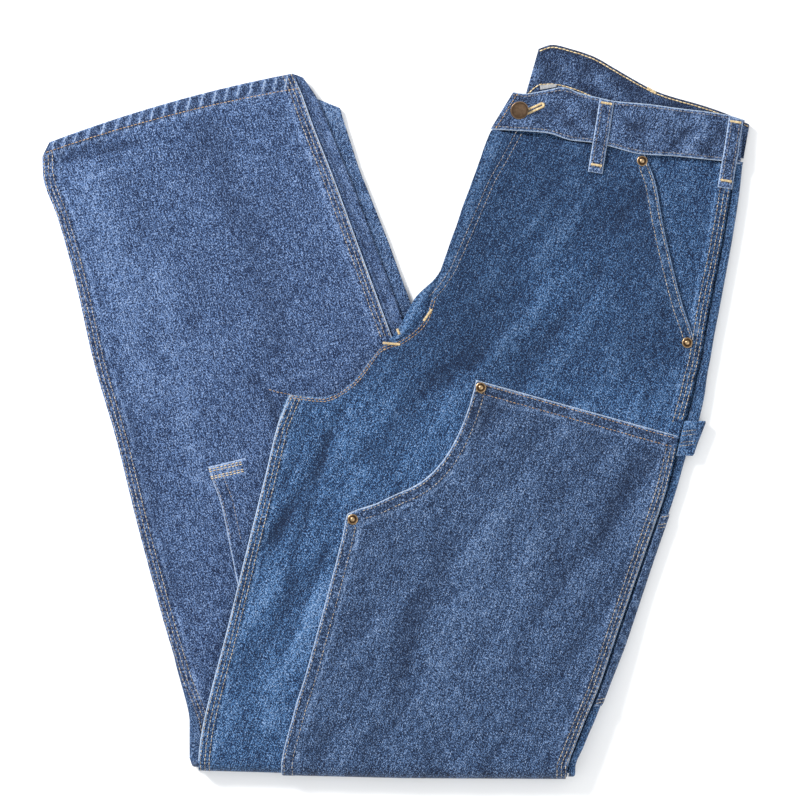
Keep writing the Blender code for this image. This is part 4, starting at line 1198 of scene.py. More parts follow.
def left_back():
    rows = stations(THIGH, BACK_SPACING)
    angles = np.linspace(-pi / 2, pi / 2, 13)
    shares = spread(outseam(rows), inseam(rows), UNDER_MARGINS, UNDER_COLUMNS)[:, :-1]
    shares = np.concatenate([0 * shares[:, :1], shares], axis=1)
    grids = []
    for radius in (THIGH_FOLD_RADIUS, THIGH_FOLD_RADIUS - CLOTH):
        past = rows.strip[:, None] - THIGH_FOLD_RADIUS + radius * np.cos(angles)[None, :]
        depth = THIGH_FOLD_RADIUS + radius * np.sin(angles)[None, :] + 0 * past
        lips = np.linspace(GAP, 1, 4)[None, :-1] * np.maximum(past[:, :1], 1)
        past, depth = with_lip(lips, past, depth)
        x = rows.outseam_x[:, None] + past
        y = rows.outseam_y[:, None] + 0 * past
        back_x, back_y = across(outseam(rows), inseam(rows), shares)
        x = np.concatenate([x, back_x], axis=1)
        y = np.concatenate([y, back_y], axis=1)
        depth = with_tail(depth, back_x.shape[1])
        x, y = with_turn(x, y, 0.56, 8)
        extra = np.repeat(depth[-1:], len(x) - len(depth), axis=0)
        grids.append(on_thigh(x, y, np.concatenate([depth, extra])))
    outer, inner = grids
    from_left = round_cloth(outer)
    uv = np.stack([from_left, y], axis=-1)
    shown = from_left < 14
    shade = np.where(shown, 0.5 * np.exp(-from_left / 1.5) + 0.12, 0.15)
    wear = np.where(shown, 0.12 + 0.2 * ripple(x, y, 26, 8) * smooth(from_left / 6), 0.1)
    outer = outer + 0.15 * ripple(x, y, 14, 7)[..., None] * shown[..., None] * np.array((0, 0, 1))
    piece = cloth("thigh_back", outer, inner, PANEL, marks_of(x, wear, shade), uv, 2)
    declare("left_back_panel")


def crotch_sliver():
    first = row_at(THIGH_ROWS, THIGH, FIRST_SLIVER_ROW)
    last = row_at(THIGH_ROWS, THIGH, CROTCH_ROW)
    rows = cut(THIGH_ROWS, first, last + 1)
    right = inseam(rows) + np.array([2.0, 0.0])
    left = inseam(rows) - np.stack([rows.sliver + 0.5, 0 * rows.sliver], axis=1)
    x, y = across(left, right, np.linspace(0, 1, 12)[None, :] + 0 * rows.strip[:, None])
    from_left, from_right, _, _ = sides(x, y)
    lift = 0.5 * smooth(from_left / 4) * smooth(from_right / 8) + 0.25 * ripple(x, y, 12, 14)
    outer = on_thigh(x, y, LAYER + PATCH_GAP - lift)
    inner = on_thigh(x, y, LAYER + PATCH_GAP + CLOTH)
    wear = 0.45 * np.exp(-((from_left - 5) / 2.5) ** 2) + 0.3 * edge_marks(from_left)
    shade = 0.5 * np.exp(-from_right / 4) + 0.1
    uv = np.stack([from_left, y], axis=-1)
    piece = cloth("crotch_sliver", outer, inner, PANEL, marks_of(x, wear, shade), uv, 2)
    declare("right_front_crotch")


def patch_depth(x, y):
    return -(thigh_relief(x, y) * fading(x, y) + PATCH_GAP + CLOTH)


def left_patch():
    rows = stations(LEFT_PATCH, FINE)
    left = first_line(rows)
    right = second_line(rows)
    x, y = across(left, right, fine_shares(left, right, SEAM_COLUMNS))
    x, y = with_turn(x, y, 0.7, 10)
    left_path = left[::3]
    top_path = (LEFT_PATCH[0][0:2], LEFT_PATCH[0][2:4])
    to_left = distance_to(np.concatenate([left_path, [x[-1, 0], y[-1, 0]] * np.ones((1, 2))]), x, y)
    to_top = distance_to(top_path, x, y)
    to_edge = np.minimum(to_left, to_top)
    to_outseam = distance_to(OUTSEAM_PATH, x, y)
    turned = 0.3 * (1 - smooth((to_edge - 10.5) / 1.5))
    ropes = (1 - smooth((to_edge - 10) / 2)) * smooth(to_edge / 1.5)
    along = np.where(to_top < to_left, x, y)
    rise = turned * smooth(to_edge / 1.2) + ropes * 0.8 * pucker(to_edge, along, 51)
    edge_drop = 0.9 * (1 - smooth(to_edge / 1.0))
    outer = on_thigh(x, y, patch_depth(x, y) - rise * fading(x, y) + edge_drop)
    inner = on_thigh(x, y, patch_depth(x, y) + CLOTH + PATCH_GAP - 0.15)
    marks = thigh_marks(x, y)
    marks["wear"] = np.where(to_outseam < SEAM_REACH, marks["wear"], marks["wear"] * 0.7)
    marks["wear"] = np.maximum(marks["wear"] * 0.9, 0.95 * edge_marks(to_edge, 1.6))
    beside = np.exp(-((to_edge - 12.5) / 1.6) ** 2)
    marks["wear"] = np.maximum(marks["wear"], (0.35 + 0.25 * ripple(x, y, 26, 15)) * beside)
    edge_seam = 0.8 * (1 - smooth((to_edge - 10) / 2))
    marks["seam"] = np.maximum(marks["seam"] * (to_outseam < SEAM_REACH), edge_seam)
    marks["shade"] = np.maximum(marks["shade"], 0.15 * marks["seam"] * (1 - marks["wear"]))
    uv = weave_place(x, y, THIGH_WARP)
    piece = cloth("knee_patch", outer, inner, PATCH_DENIM, marks, uv)
    declare("left_knee_patch")


# Shin stack

def tucked_inseam(rows):
    return inseam(rows) + np.stack([rows.tuck, 0 * rows.tuck], axis=1)


def shin_line(rows, shares):
    x, y = across(tucked_inseam(rows), outseam(rows), shares)
    bow = rows.bow[:, None] * 4 * shares * (1 - shares)
    return x, y + bow


def shin_columns(rows):
    """The columns under the right front, from close to the inseam to the outseam itself."""
    shares = 1 - spread(outseam(rows), tucked_inseam(rows), UNDER_MARGINS, UNDER_COLUMNS)[:, -2::-1]
    return shin_line(rows, np.concatenate([shares, 1 + 0 * shares[:, :1]], axis=1))


def with_hem(rows, spacing):
    """The rows with more of them close to the hem, where the cloth is turned up."""
    wide = np.array(rows).T
    middles = (wide[:, 0:2] + wide[:, 2:4]) / 2
    to_end = np.linalg.norm(middles - middles[-1], axis=1)
    kept = wide[to_end > spacing[0] + 0.5]
    run = to_end[len(kept) - 1]
    extra = [kept[-1] + (wide[-1] - kept[-1]) * (1 - gap / run) for gap in spacing]
    return type(rows)(*np.concatenate([kept, extra, wide[-1:]]).T)


HEM_ROWS = (12.6, 11.8, 11.0, 10.2, 8.6, 7.0, 5.4, 3.8, 2.2, 1.2, 0.5)


def hem_marks(to_hem, along):
    """Roping of a hem: slanting ridges, worn pale, with dark hollows between."""
    lean = along + 0.25 * to_hem
    rope = np.sin(lean * 2 * pi / HEM_ROPE_PITCH + 1.6 * ripple(along, 0 * along, 60, 61))
    inside = smooth(to_hem / 0.8) * (1 - smooth((to_hem - 10) / 1.5))
    return rope, inside


def right_front():
    rows = with_hem(SHIN_ROWS, HEM_ROWS)
    left = tucked_inseam(rows)
    x, y = shin_line(rows, fine_shares(left, outseam(rows), SEAM_COLUMNS))
    _, _, _, to_hem = sides(x, y)
    rope, in_hem = hem_marks(to_hem, x)
    relief = shin_relief(x, y)
    hem = HEM_RISE * (1 - smooth((to_hem - 10.6) / 1.2)) * (0.45 + 0.55 * smooth(to_hem / 1.5))
    relief = np.maximum(relief, hem) + 0.28 * rope * in_hem
    pull = np.exp(-((to_hem - 15) / 4) ** 2) * (0.25 * rope - 0.25)
    outer_z = shin_top(x, y) + relief + pull
    outer = raised(x, y, outer_z)
    inner = raised(x, y, shin_top(x, y) - CLOTH)
    # Fold crests get wear with a painted highlight, fold troughs get painted shade
    wear, shade = fold_marks(folds_at(SHIN_FOLDS, x, y), shin_creases(x, y))
    shown = smooth((y - HIDDEN_SEAM + 30) / 10)
    to_inseam = distance_to(SHIN_INSEAM_PATH, x, y)
    to_outseam = distance_to(SHIN_OUTSEAM_PATH, x, y)
    seam = np.maximum(seam_share(to_inseam), seam_share(to_outseam))
    wear = most(wear, 1.0 * edge_marks(to_outseam, 1.9) * shown)
    wear = most(wear, 0.6 * edge_marks(to_inseam, 1.6))
    beside = np.exp(-((np.minimum(to_outseam, to_inseam) - 13) / 1.8) ** 2)
    wear = most(wear, (0.3 + 0.25 * ripple(x, y, 26, 16)) * beside)
    shade = most(shade, 0.12 * seam * (1 - wear))
    hem_band = 1 - smooth((to_hem - 10.5) / 1)
    wear = wear * (1 - hem_band) + hem_band * (0.10 + 0.75 * np.clip(rope, 0, 1) ** 4)
    wear = most(wear, 0.55 * edge_marks(to_hem, 1.6))
    shade = np.maximum(shade * (1 - hem_band), hem_band * (0.40 - 0.2 * rope))
    under_hem = np.exp(-((to_hem - 13.5) / 1.8) ** 2)
    wear = most(wear, (0.35 + 0.25 * rope) * under_hem)
    # A darker band beside the hem, towards the inseam end, put in the shade mark
    darker_band_by_hem = np.exp(-((to_hem - 18) / 4) ** 2) * smooth((-225 - x) / 40) * (0.7 + 0.5 * rope)
    shade = most(shade, 0.9 * darker_band_by_hem)
    seam = np.maximum(seam, 0.35 * hem_band)
    uv = weave_place(x, y, SHIN_WARP)
    piece = cloth("lower_leg_front", outer, inner, SHIN_DENIM, marks_of(x, wear, shade, seam), uv)
    declare("right_front_panel")


def right_back():
    rows = stations(SHIN, BACK_SPACING)
    angles = np.linspace(-pi / 2, pi / 2, 11)
    back_x, back_y = shin_columns(rows)
    back_x = back_x[:, ::-1]
    back_y = back_y[:, ::-1]
    grids = []
    for radius in (SHIN_FOLD_RADIUS, SHIN_FOLD_RADIUS - CLOTH):
        past = rows.strip[:, None] - SHIN_FOLD_RADIUS + radius * np.cos(angles)[None, :]
        depth = SHIN_FOLD_RADIUS + radius * np.sin(angles)[None, :] + 0 * past
        lips = np.linspace(GAP, 1, 5)[None, :-1] * past[:, :1]
        past, depth = with_lip(lips, past, depth)
        x = np.concatenate([rows.outseam_x[:, None] + past, back_x], axis=1)
        y = np.concatenate([rows.outseam_y[:, None] + STRIP_LEAN * past, back_y], axis=1)
        depth = with_tail(depth, back_x.shape[1])
        grids.append(raised(x, y, shin_top(x, y) - depth))
    outer, inner = grids
    from_left = round_cloth(outer)
    _, _, _, to_hem = sides(x, y)
    shown = from_left < 20
    hem_band = (1 - smooth((to_hem - 10.5) / 1)) * shown
    bumps = (0.15 * ripple(x, y, 14, 17) + 0.7 * hem_band) * shown
    outer = outer + bumps[..., None] * np.array((0, 0, 1))
    wear = np.where(shown, 0.10 + 0.18 * ripple(x, y, 24, 18) + 0.25 * hem_band, 0.1)
    shade = np.where(shown, 0.75 * np.exp(-from_left / 1.6) + 0.1, 0.2)
    uv = np.stack([from_left, y], axis=-1)
    piece = cloth("lower_leg_back", outer, inner, SHIN_DENIM, marks_of(x, wear, shade), uv, 2)
    declare("right_back_panel")


def right_patch():
    rows = stations(RIGHT_PATCH, FINE)
    left = first_line(rows)
    right = second_line(rows)
    x, y = across(left, right, fine_shares(left, right, PLAIN_COLUMNS))
    from_left, _, from_top, _ = sides(x, y)
    to_edge = np.minimum(from_left, from_top)
    band = (1 - smooth((from_top - 12.5) / 1)) * (1 - smooth((x - OPENING_BAND_END) / 2))
    drop = 0.9 * (1 - smooth(to_edge / 1.0)) * (x < -125)
    lift = 0.35 * band + 0.1 * pucker(to_edge, y, 71) * (to_edge < 12)
    blend_in = 0.9 * smooth((x - OPENING_BAND_END) / 14) * (1 - smooth((from_top - 10) / 30))
    top = shin_top(x, y)
    outer = raised(x, y, top + LAYER + lift - drop - blend_in)
    inner = raised(x, y, top + 0.1)
    wear = 0.95 * edge_marks(from_left, 1.5)
    wear = most(wear, 0.8 * edge_marks(from_top, 1.3) * (x < -129))
    wear = most(wear, 0.6 * edge_marks(np.abs(from_top - 12.8), 0.9) * (x < OPENING_BAND_END))
    faint = np.exp(-((from_top - 0.0) / 1.5) ** 2) * (x >= -129)
    wear = np.maximum(np.maximum(wear, 0.3 * faint), 0.35 * band)
    seam = 0.7 * seam_share(from_left) * (1 - band)
    uv = weave_place(x, y, SHIN_WARP)
    marks = marks_of(x, wear, 0.2 * seam, seam)
    piece = cloth("lower_leg_patch", outer, inner, SHIN_DENIM, marks, uv)
    declare("right_knee_patch")


# Hidden layers

def crossing(left, right, past):
    """Share along each row at which it lies this far past the edge of the shin stack."""
    start = side_of_shin_edge(left[:, 0], left[:, 1]) + past
    end = side_of_shin_edge(right[:, 0], right[:, 1]) + past
    return start / (start - end)


def with_edges(left, x, y, right):
    x = np.concatenate([left[:, :1], x, right[:, :1]], axis=1)
    y = np.concatenate([left[:, 1:], y, right[:, 1:]], axis=1)
    return x, y


def layer_profile(layers):
    """Side of a stack of layers, from the top down: share of the height and outset of each."""
    profile = []
    for k in range(layers):
        for part, out in ((0.1, 0.35), (0.3, 0.85), (0.5, 1.0), (0.7, 0.85), (0.9, 0.35)):
            profile.append(((k + part) / layers, 0.3 + 1.3 * out - 0.5 * (k % 2)))
    return profile


def layered(name, outer, inner, finish, profile, marks_for):
    """A closed solid of hidden layers, whose two side edges show them."""
    rows, columns = outer.shape[:2]
    points = [outer.reshape(-1, 3), inner.reshape(-1, 3)]
    top = np.arange(rows * columns).reshape(rows, columns)
    under = top.size + top
    faces = quads(top) + quads(under)
    first = 2 * top.size
    for end, other in ((0, 1), (-1, -2)):
        high = outer[:, end]
        low = inner[:, end]
        out = high - outer[:, other]
        out[:, 2] = 0
        out = out / np.linalg.norm(out, axis=1)[:, None]
        waves = 1 + 0.35 * ripple(high[:, 0], high[:, 1], 35, 81 + end)
        out = out * waves[:, None]
        steps = [high + (low - high) * share + out * outset for share, outset in profile]
        edge = np.stack(steps, axis=1)
        points.append(edge.reshape(-1, 3))
        numbers = first + np.arange(rows * len(profile)).reshape(rows, len(profile))
        first += rows * len(profile)
        side = np.concatenate([top[:, end:][:, :1], numbers, under[:, end:][:, :1]], axis=1)
        faces += quads(side)
        faces.append([int(p) for p in side[0]])
        faces.append([int(p) for p in side[-1]])
    faces += quads(np.stack([top[0], under[0]])) + quads(np.stack([top[-1], under[-1]]))
    points = np.concatenate(points)
    uv = np.stack([points[:, 0] + points[:, 2], points[:, 1]], axis=-1)
    return add_piece(name, points, faces, finish, marks_for(points), uv)


def hidden_layers():
    rows = stations(THIGH, HIDDEN_SPACING)
    left = inseam(rows) + np.stack([1.5 - rows.sliver, 0 * rows.sliver], axis=1)
    right = outseam(rows) + np.stack([rows.strip - 2.2, 0 * rows.strip], axis=1)
    shares = 1 - spread(outseam(rows), inseam(rows), UNDER_MARGINS, UNDER_COLUMNS)[:, -2::-1]
    shares = np.concatenate([shares, 1 + 0 * shares[:, :1]], axis=1)
    x, y = across(inseam(rows), outseam(rows), shares)
    x, y = with_edges(left, x, y, right)
    y[-1] = fold_start(x[-1])
    outer = [raised(x, y, thigh_top(x, y, True) - CORE_DEPTH)]
    at_edge = np.clip(crossing(inseam(rows), outseam(rows), UNDERSIDE_MARGIN), 0.1, 0.85)[:, None]
    past = UNDERSIDE_MARGIN + UNDERSIDE_DRAPE
    on_table = crossing(inseam(rows), outseam(rows), past)[:, None]
    on_table = np.clip(on_table, at_edge + 0.04, 0.95)
    shares = np.linspace(0.03, 1, 5)[None, :] * at_edge
    beyond = on_table + (1 - on_table) * np.linspace(0, 1, 5)[None, :]
    under_x, under_y = across(
        inseam(rows), outseam(rows), np.concatenate([shares, beyond], axis=1)
    )
    under_x, under_y = with_edges(left, under_x, under_y, right)
    under_y[-1] = fold_start(under_x[-1])
    under_z = SLOT_TOP * over_shin(under_x, under_y, UNDERSIDE_DRAPE, UNDERSIDE_MARGIN)
    inner = [raised(under_x, under_y, under_z)]

    all_rows = stations(SHIN, HIDDEN_SPACING)
    shins = cut(all_rows, 0, row_at(all_rows, SHIN, UNDER_LEG_ROWS - 1) + 1)
    shins = with_hem(shins, (12.2, 11.0, 6.0, 1.5))
    shin_left = inseam(shins) + np.array([2.0, 0.0])
    reach = shins.strip + shins.under_strip - 2
    shin_right = outseam(shins) + np.stack([reach, STRIP_LEAN * reach], axis=1)
    shin_x, shin_y = shin_columns(shins)
    shin_x, shin_y = with_edges(shin_left, shin_x, shin_y, shin_right)
    top = shin_top(shin_x, shin_y, True) - 2 * LAYER

    half_slot = (SLOT_TOP - SHIN_CORE) / 2
    for turn in np.linspace(0, pi, 13)[1:]:
        share = turn / pi
        across_x = x[-1] * (1 - share) + shin_x[0] * share
        start = fold_start(across_x)
        depth = CORE_DEPTH if turn <= 0.62 * pi else LAYER
        half = thigh_top(across_x, start, True) / 2
        fold_y = start - (FOLD_REACH - depth) * np.sin(turn)
        fold_z = half + (half - depth) * np.cos(turn)
        outer.append(np.stack([across_x, fold_y, fold_z], axis=-1)[None])
        lip = start - 2.5 * np.sin(turn)
        level = SHIN_CORE + half_slot * (1 + np.cos(turn)) + 0 * lip
        inner.append(np.stack([across_x, lip, level], axis=-1)[None])

    shin_y[0] = fold_start(shin_x[0]) + 4 * GAP
    to_end = sides(shin_x, shin_y)[3]
    hem = 0.9 * (1 - smooth((to_end - 10.5) / 1)) * np.array([0.0] * (shin_x.shape[1] - 1) + [1.0])
    outer.append(raised(shin_x, shin_y, 0 * shin_y))
    inner.append(raised(shin_x, shin_y, top + hem))

    def marks_for(points):
        x, y, z = points.T
        right_strip = side_of_shin_edge(x, y) < 60
        hem_part = np.clip((y - 240) / 10, 0, 1) * (x > -100) * (x < -30)
        wear = 0.14 + 0.16 * ripple(x, y, 22, 91) + 0.2 * hem_part
        # Painted shade in stripes by height for the gaps between the stacked layers, with little of
        # it on the right strip's upper part
        gaps = 0.4 * (0.5 + 0.5 * np.cos(z * 2 * pi / 2.6))
        painted_layer_shade = np.where(z > 3.2, 0.1, gaps) * right_strip + gaps * (~right_strip)
        return marks_of(x, wear, painted_layer_shade)

    outer = np.concatenate(outer)
    inner = np.concatenate(inner)
    piece = layered("inner_layers", outer, inner, HIDDEN_DENIM, layer_profile(3), marks_for)
    declare("folded_layers")


# Waist

def band_points(table, shares, spacing=FINE):
    rows = stations(table, spacing)
    low = first_line(rows)
    high = second_line(rows)
    return across(low, high, np.array([shares]) + 0 * low[:, :1])


BAND_SHARES = (0, 0.012, 0.03, 0.06, *np.linspace(0.1, 0.9, 15), 0.94, 0.97, 0.988, 1)


def band_low(x, share):
    """Underside of the front waistband, from its seat on the panel to its rest behind."""
    rows = stations(FRONT_BAND, FINE)
    low_y = np.interp(x, rows.low_x, rows.low_y)
    seat = thigh_top(x, low_y, True) + 2 * GAP
    return seat + (BAND_LOW - seat) * smooth((share - 0.25) / 0.7)


def band_share(x, y):
    rows = stations(FRONT_BAND, FINE)
    low = np.interp(x, rows.low_x, rows.low_y)
    high = np.interp(x, rows.high_x, rows.high_y)
    return np.clip((y - low) / (high - low), 0, 1)


def band_soft(x, y):
    wide, small = BAND_STIRS
    fine = wide.height * ripple(x, y, wide.size, 101)
    return folds_at(BAND_CREASES, x, y) + fine + small.height * ripple(x, y, small.size, 102)


def band_top(x, y):
    """Height of the front waistband's face."""
    share = band_share(x, y)
    inside = smooth(share / 0.12) * smooth((1 - share) / 0.12)
    return band_low(x, share) + BAND + inside * band_soft(x, y)


def front_band():
    shares = np.array(BAND_SHARES)
    x, y = band_points(FRONT_BAND, shares)
    low = band_low(x[:, :1], shares[None, :])
    from_low, from_high, from_left, from_right = sides(x, y)
    edge = np.minimum(np.minimum(from_low, from_high), np.minimum(from_left, from_right))
    inside = smooth(np.minimum(from_low, from_high) / 5)
    ropes = (1 - smooth((np.minimum(from_low, from_high) - 4) / 2)) * smooth(edge / 1.2)
    top = low + BAND - 0.8 * (1 - smooth(edge / 1.3)) + inside * band_soft(x, y)
    top = top + ropes * 1.2 * pucker(from_low, x, 103)
    outer = raised(x, y, top)
    inner = raised(x, y, low)
    soft = band_soft(x, y)
    # Painted highlight on the band's ridges, painted shade in its creases and among the ropes by
    # its sewn edges, which are worn pale
    wear = np.clip(soft * 0.55, 0, 0.45)
    wear = most(wear, 0.95 * edge_marks(np.minimum(from_low, from_high), 1.5))
    shade = np.maximum(np.clip(-soft * 1.3, 0, 1), 0.2 * ropes)
    uv = np.stack([from_left, from_low], axis=-1)
    marks = marks_of(x, wear, shade, 0.6 * ropes)
    piece = cloth("front_waistband", outer, inner, BAND_DENIM, marks, uv, 3)
    declare("waistband_front")


def back_band_top(x, y):
    return BACK_BAND_TOP + 0.45 * ripple(x, y, 38, 111)


def back_band():
    middle = np.linspace(0.14, 0.86, 12)
    shares = np.array((0.0, 0.03, 0.08, *middle, 0.92, 0.955, 0.975, 0.988, 1.0))
    x, y = band_points(BACK_BAND, shares)
    _, from_high, from_left, from_right = sides(x, y)
    edge = np.minimum(from_high, np.minimum(from_left, from_right))
    ridge = 0.25 * np.exp(-((from_high - 5) / 2) ** 2)
    top = back_band_top(x, y) - 1.1 * (1 - smooth(edge / 1.6)) + ridge
    outer = raised(x, y, top)
    inner = raised(x, y, 0 * x)
    soft = 0.6 * ripple(x, y, 30, 111)
    # Painted highlight and painted shade following the band's unevenness over a darker tone, and
    # painted shade along its rolled top edge and along a line beside its ridge
    wear = np.clip(0.25 * soft, 0, 0.3)
    shade = np.clip(0.45 - 0.8 * soft, 0, 0.9) + 0.55 * np.exp(-((from_high - 0.4) / 0.9) ** 2)
    shade = shade + 0.6 * np.exp(-((from_high - 3.8) / 0.8) ** 2)
    uv = np.stack([from_left, y], axis=-1)
    piece = cloth("back_waistband", outer, inner, BAND_DENIM, marks_of(x, wear, shade), uv, 3)
    declare("waistband_back")


def underlap():
    shares = np.array((0, 0.2, 0.4, 0.6, 0.75, 0.86, 0.93, 0.97, 1))
    x, y = band_points(UNDERLAP, shares)
    _, from_high, from_left, _ = sides(x, y)
    top = UNDERLAP_TOP - 0.7 * (1 - smooth(from_high / 1.2)) + 0.15 * ripple(x, y, 12, 113)
    outer = raised(x, y, top)
    inner = raised(x, y, UNDERLAP_BOTTOM)
    shade = 0.3 + 0.4 * np.exp(-((from_high - 0.3) / 0.8) ** 2)
    uv = np.stack([from_left, y], axis=-1)
    piece = cloth("waist_underlap", outer, inner, BAND_DENIM, marks_of(x, 0.0, shade), uv, 3)
    x, y = band_points(TAPE, np.linspace(0, 1, 6), 1.5)
    low = UNDERLAP_TOP + GAP
    curl = 0.35 * ripple(x, y, 7, 115)
    outer_tape = raised(x, y, low + TAPE_CLOTH + curl)
    inner_tape = raised(x, y, low)
    uv = np.stack([x, y], axis=-1)
    tape = cloth("bare_tape", outer_tape, inner_tape, WHITE_TAPE, marks_of(x), uv, 2)
    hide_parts("waist_tape")
    declare("waistband_underlap")


# Loops and the tool pocket

def loop_frame(loop):
    top = np.array((loop.top_x, loop.top_y))
    low = np.array((loop.low_x, loop.low_y))
    along = (low - top) / np.linalg.norm(low - top)
    return top, low, along, np.array((-along[1], along[0]))


def loop_height(x, y, share):
    on_band = np.where(share < 0.62, band_top(x, y), 0)
    on_panel = np.where(share > 0.45, thigh_top(x, y, True) + SEAM_RISE, 0)
    return np.maximum(on_band, on_panel) + GAP


def belt_loop(loop):
    top, low, along, side = loop_frame(loop)
    length = np.linalg.norm(low - top)
    shares = np.concatenate([[0, 0.008, 0.02], np.linspace(0.04, 0.96, 34), [0.98, 0.992, 1]])
    offsets = np.concatenate([[-0.5, -0.46, -0.4], np.linspace(-0.33, 0.33, 9), [0.4, 0.46, 0.5]])
    middle = top[None, None] + (low - top)[None, None] * shares[:, None, None]
    points = middle + side[None, None] * offsets[None, :, None] * LOOP_WIDTH
    x, y = points[..., 0], points[..., 1]
    share = shares[:, None] + 0 * x
    seat = loop_height(x, y, share)
    for _ in range(4):
        inner_rows = (seat[:-2] + seat[2:]) / 2
        seat[1:-1] = np.maximum(seat[1:-1], inner_rows)
    across_it = np.abs(offsets)[None, :] * LOOP_WIDTH
    to_side = LOOP_WIDTH / 2 - across_it + 0 * x
    to_end = np.minimum(share, 1 - share) * length
    edge = np.minimum(to_side, to_end)
    ridge = 0.25 * np.exp(-((to_side - 4.2) / 1.2) ** 2)
    crown = LOOP_CLOTH - 0.9 * (1 - smooth(edge / 1.2)) + ridge
    ropes = 0.16 * np.sin(share * length * 2 * pi / 4.5 + across_it)
    outer = raised(x, y, seat + crown + ropes * (edge > 1))
    inner = raised(x, y, seat)
    wear = np.maximum(0.9 * edge_marks(to_side, 1.5), 0.8 * edge_marks(to_end, 1.4))
    wear = most(wear, 0.4 * edge_marks(np.abs(to_end - 3), 2) * (share > 0.5))
    shade = 0.35 * np.exp(-((to_side - 2.6) / 0.8) ** 2)
    uv = np.stack([offsets[None, :] * LOOP_WIDTH + 0 * x, share * length], axis=-1)
    marks = marks_of(x, wear, shade, 0.5)
    piece = cloth(loop.name + "_cloth", outer, inner, BAND_DENIM, marks, uv, 2)
    declare(loop.name)

    def face(x, y):
        place = np.stack([x, y], axis=-1) - top
        share = np.clip(place @ along / length, 0, 1)
        return raised(x, y, np.interp(share, shares, seat.mean(axis=1)) + LOOP_CLOTH + 0.12)

    rows = []
    for offset in (-3.6, 3.6):
        path = np.stack([top + along * 4.5, low - along * 3.5]) + side * offset
        rows.append((path, face))
    tacks = []
    for at in (3.0, length - 6.5):
        centre = top + along * at
        tacks.append((centre - side * 4.6, centre + side * 4.6, face))
    return rows, tacks


def rows_between(high, low, count):
    """Smooth thigh rows whose outseam lies between two heights on the pants."""
    wanted = np.linspace(high, low, count)
    order = np.argsort(THIGH_ROWS.outseam_y)
    at = THIGH_ROWS.outseam_y[order]
    return ThighRow(*(np.interp(wanted, at, column[order]) for column in THIGH_ROWS))


def edge_strap(rows, centre, inner_radius, strap_cloth, angles, start):
    """Grids of a strip of cloth that goes round the back's folded edge."""
    grids = []
    for radius in (inner_radius + strap_cloth, inner_radius):
        past = rows.strip[:, None] + centre + radius * np.cos(angles)[None, :]
        depth = THIGH_FOLD_RADIUS + radius * np.sin(angles)[None, :] + 0 * past
        lips = start + (past[:, :1] - start) * np.linspace(0, 1, 6)[None, :-1]
        past, depth = with_lip(lips, past, depth)
        x = rows.outseam_x[:, None] + past
        y = rows.outseam_y[:, None] + 0 * past
        grids.append(on_thigh(x, y, depth))
    return x, y, grids


def strap_piece(name, node, grids, x, y, finish):
    outer, inner = grids
    _, _, from_top, from_low = sides(x, y)
    from_left = round_cloth(outer)
    edge = np.minimum(np.minimum(from_top, from_low), from_left)
    outer = outer + (inner - outer) * (0.5 * (1 - smooth(edge / 1.2)))[..., None]
    wear = np.maximum(0.55 * edge_marks(edge, 1.5), 0.15 + 0.2 * ripple(x, y, 10, 121))
    shade = 0.2 + 0.2 * ripple(x, y, 14, 123)
    uv = np.stack([from_left, y], axis=-1)
    piece = cloth(name, outer, inner, finish, marks_of(x, wear, shade, 0.4), uv, 2)
    declare(node)


def outseam_at(y):
    return np.interp(y, OUTSEAM_PATH[::-1, 1], OUTSEAM_PATH[::-1, 0])


def across_strap(places, start, end, rise, face):
    """Sewn lines across a strip of cloth, each from start to end past the outseam."""
    lines = []
    for at in places:
        edge = outseam_at(at)
        lines.append((((edge + start, at), (edge + end, at + rise)), face))
    return lines


def hammer_loop():
    rows = rows_between(*HAMMER_LOOP, 16)
    angles = np.linspace(-pi / 2, 0.55 * pi, 18)
    x, y, grids = edge_strap(rows, 2.2, THIGH_FOLD_RADIUS + GAP, LOOP_CLOTH, angles, 1.0)
    strap_piece("hammer_loop_cloth", "hammer_loop", grids, x, y, PANEL)

    def face(x, y):
        past = x - outseam_at(y)
        base = on_thigh(x, y, -LOOP_CLOTH - 0.2)
        base[..., 2] -= smooth((past - 13) / 4) * 0.9
        return base

    return across_strap(HAMMER_LOOP_SEWING, 2, 15.5, 1.5, face)


def tool_pocket():
    rows = rows_between(*TOOL_POCKET, 70)
    angles = np.linspace(-pi / 2, 0.25 * pi, 10)
    x, y, grids = edge_strap(
        rows, -THIGH_FOLD_RADIUS, THIGH_FOLD_RADIUS + GAP, TOOL_POCKET_CLOTH, angles, 2.5
    )
    strap_piece("tool_pocket_cloth", "tool_pocket", grids, x, y, PATCH_DENIM)

    def face(x, y):
        return on_thigh(x, y, -TOOL_POCKET_CLOTH - 0.55)

    return across_strap(TOOL_POCKET_SEWING, 3.4, 8.2, 0.8, face)


# Hardware

def lathe(name, profile, finish, place, steps=48):
    """A turned piece from its profile of radii and heights, put in place by a matrix."""
    angles = np.arange(steps) * 2 * pi / steps
    points = []
    tone = []
    for radius, height, mark_value in profile:
        points.append(raised(radius * np.cos(angles), radius * np.sin(angles), height))
        tone += [mark_value] * steps
    points = np.concatenate(points)
    faces = ring_faces(0, len(profile), steps)
    points = np.array([place @ Vector(point) for point in points])
    return add_piece(name, points, faces, finish, {"tone": np.array(tone)}, sharp=1.1)


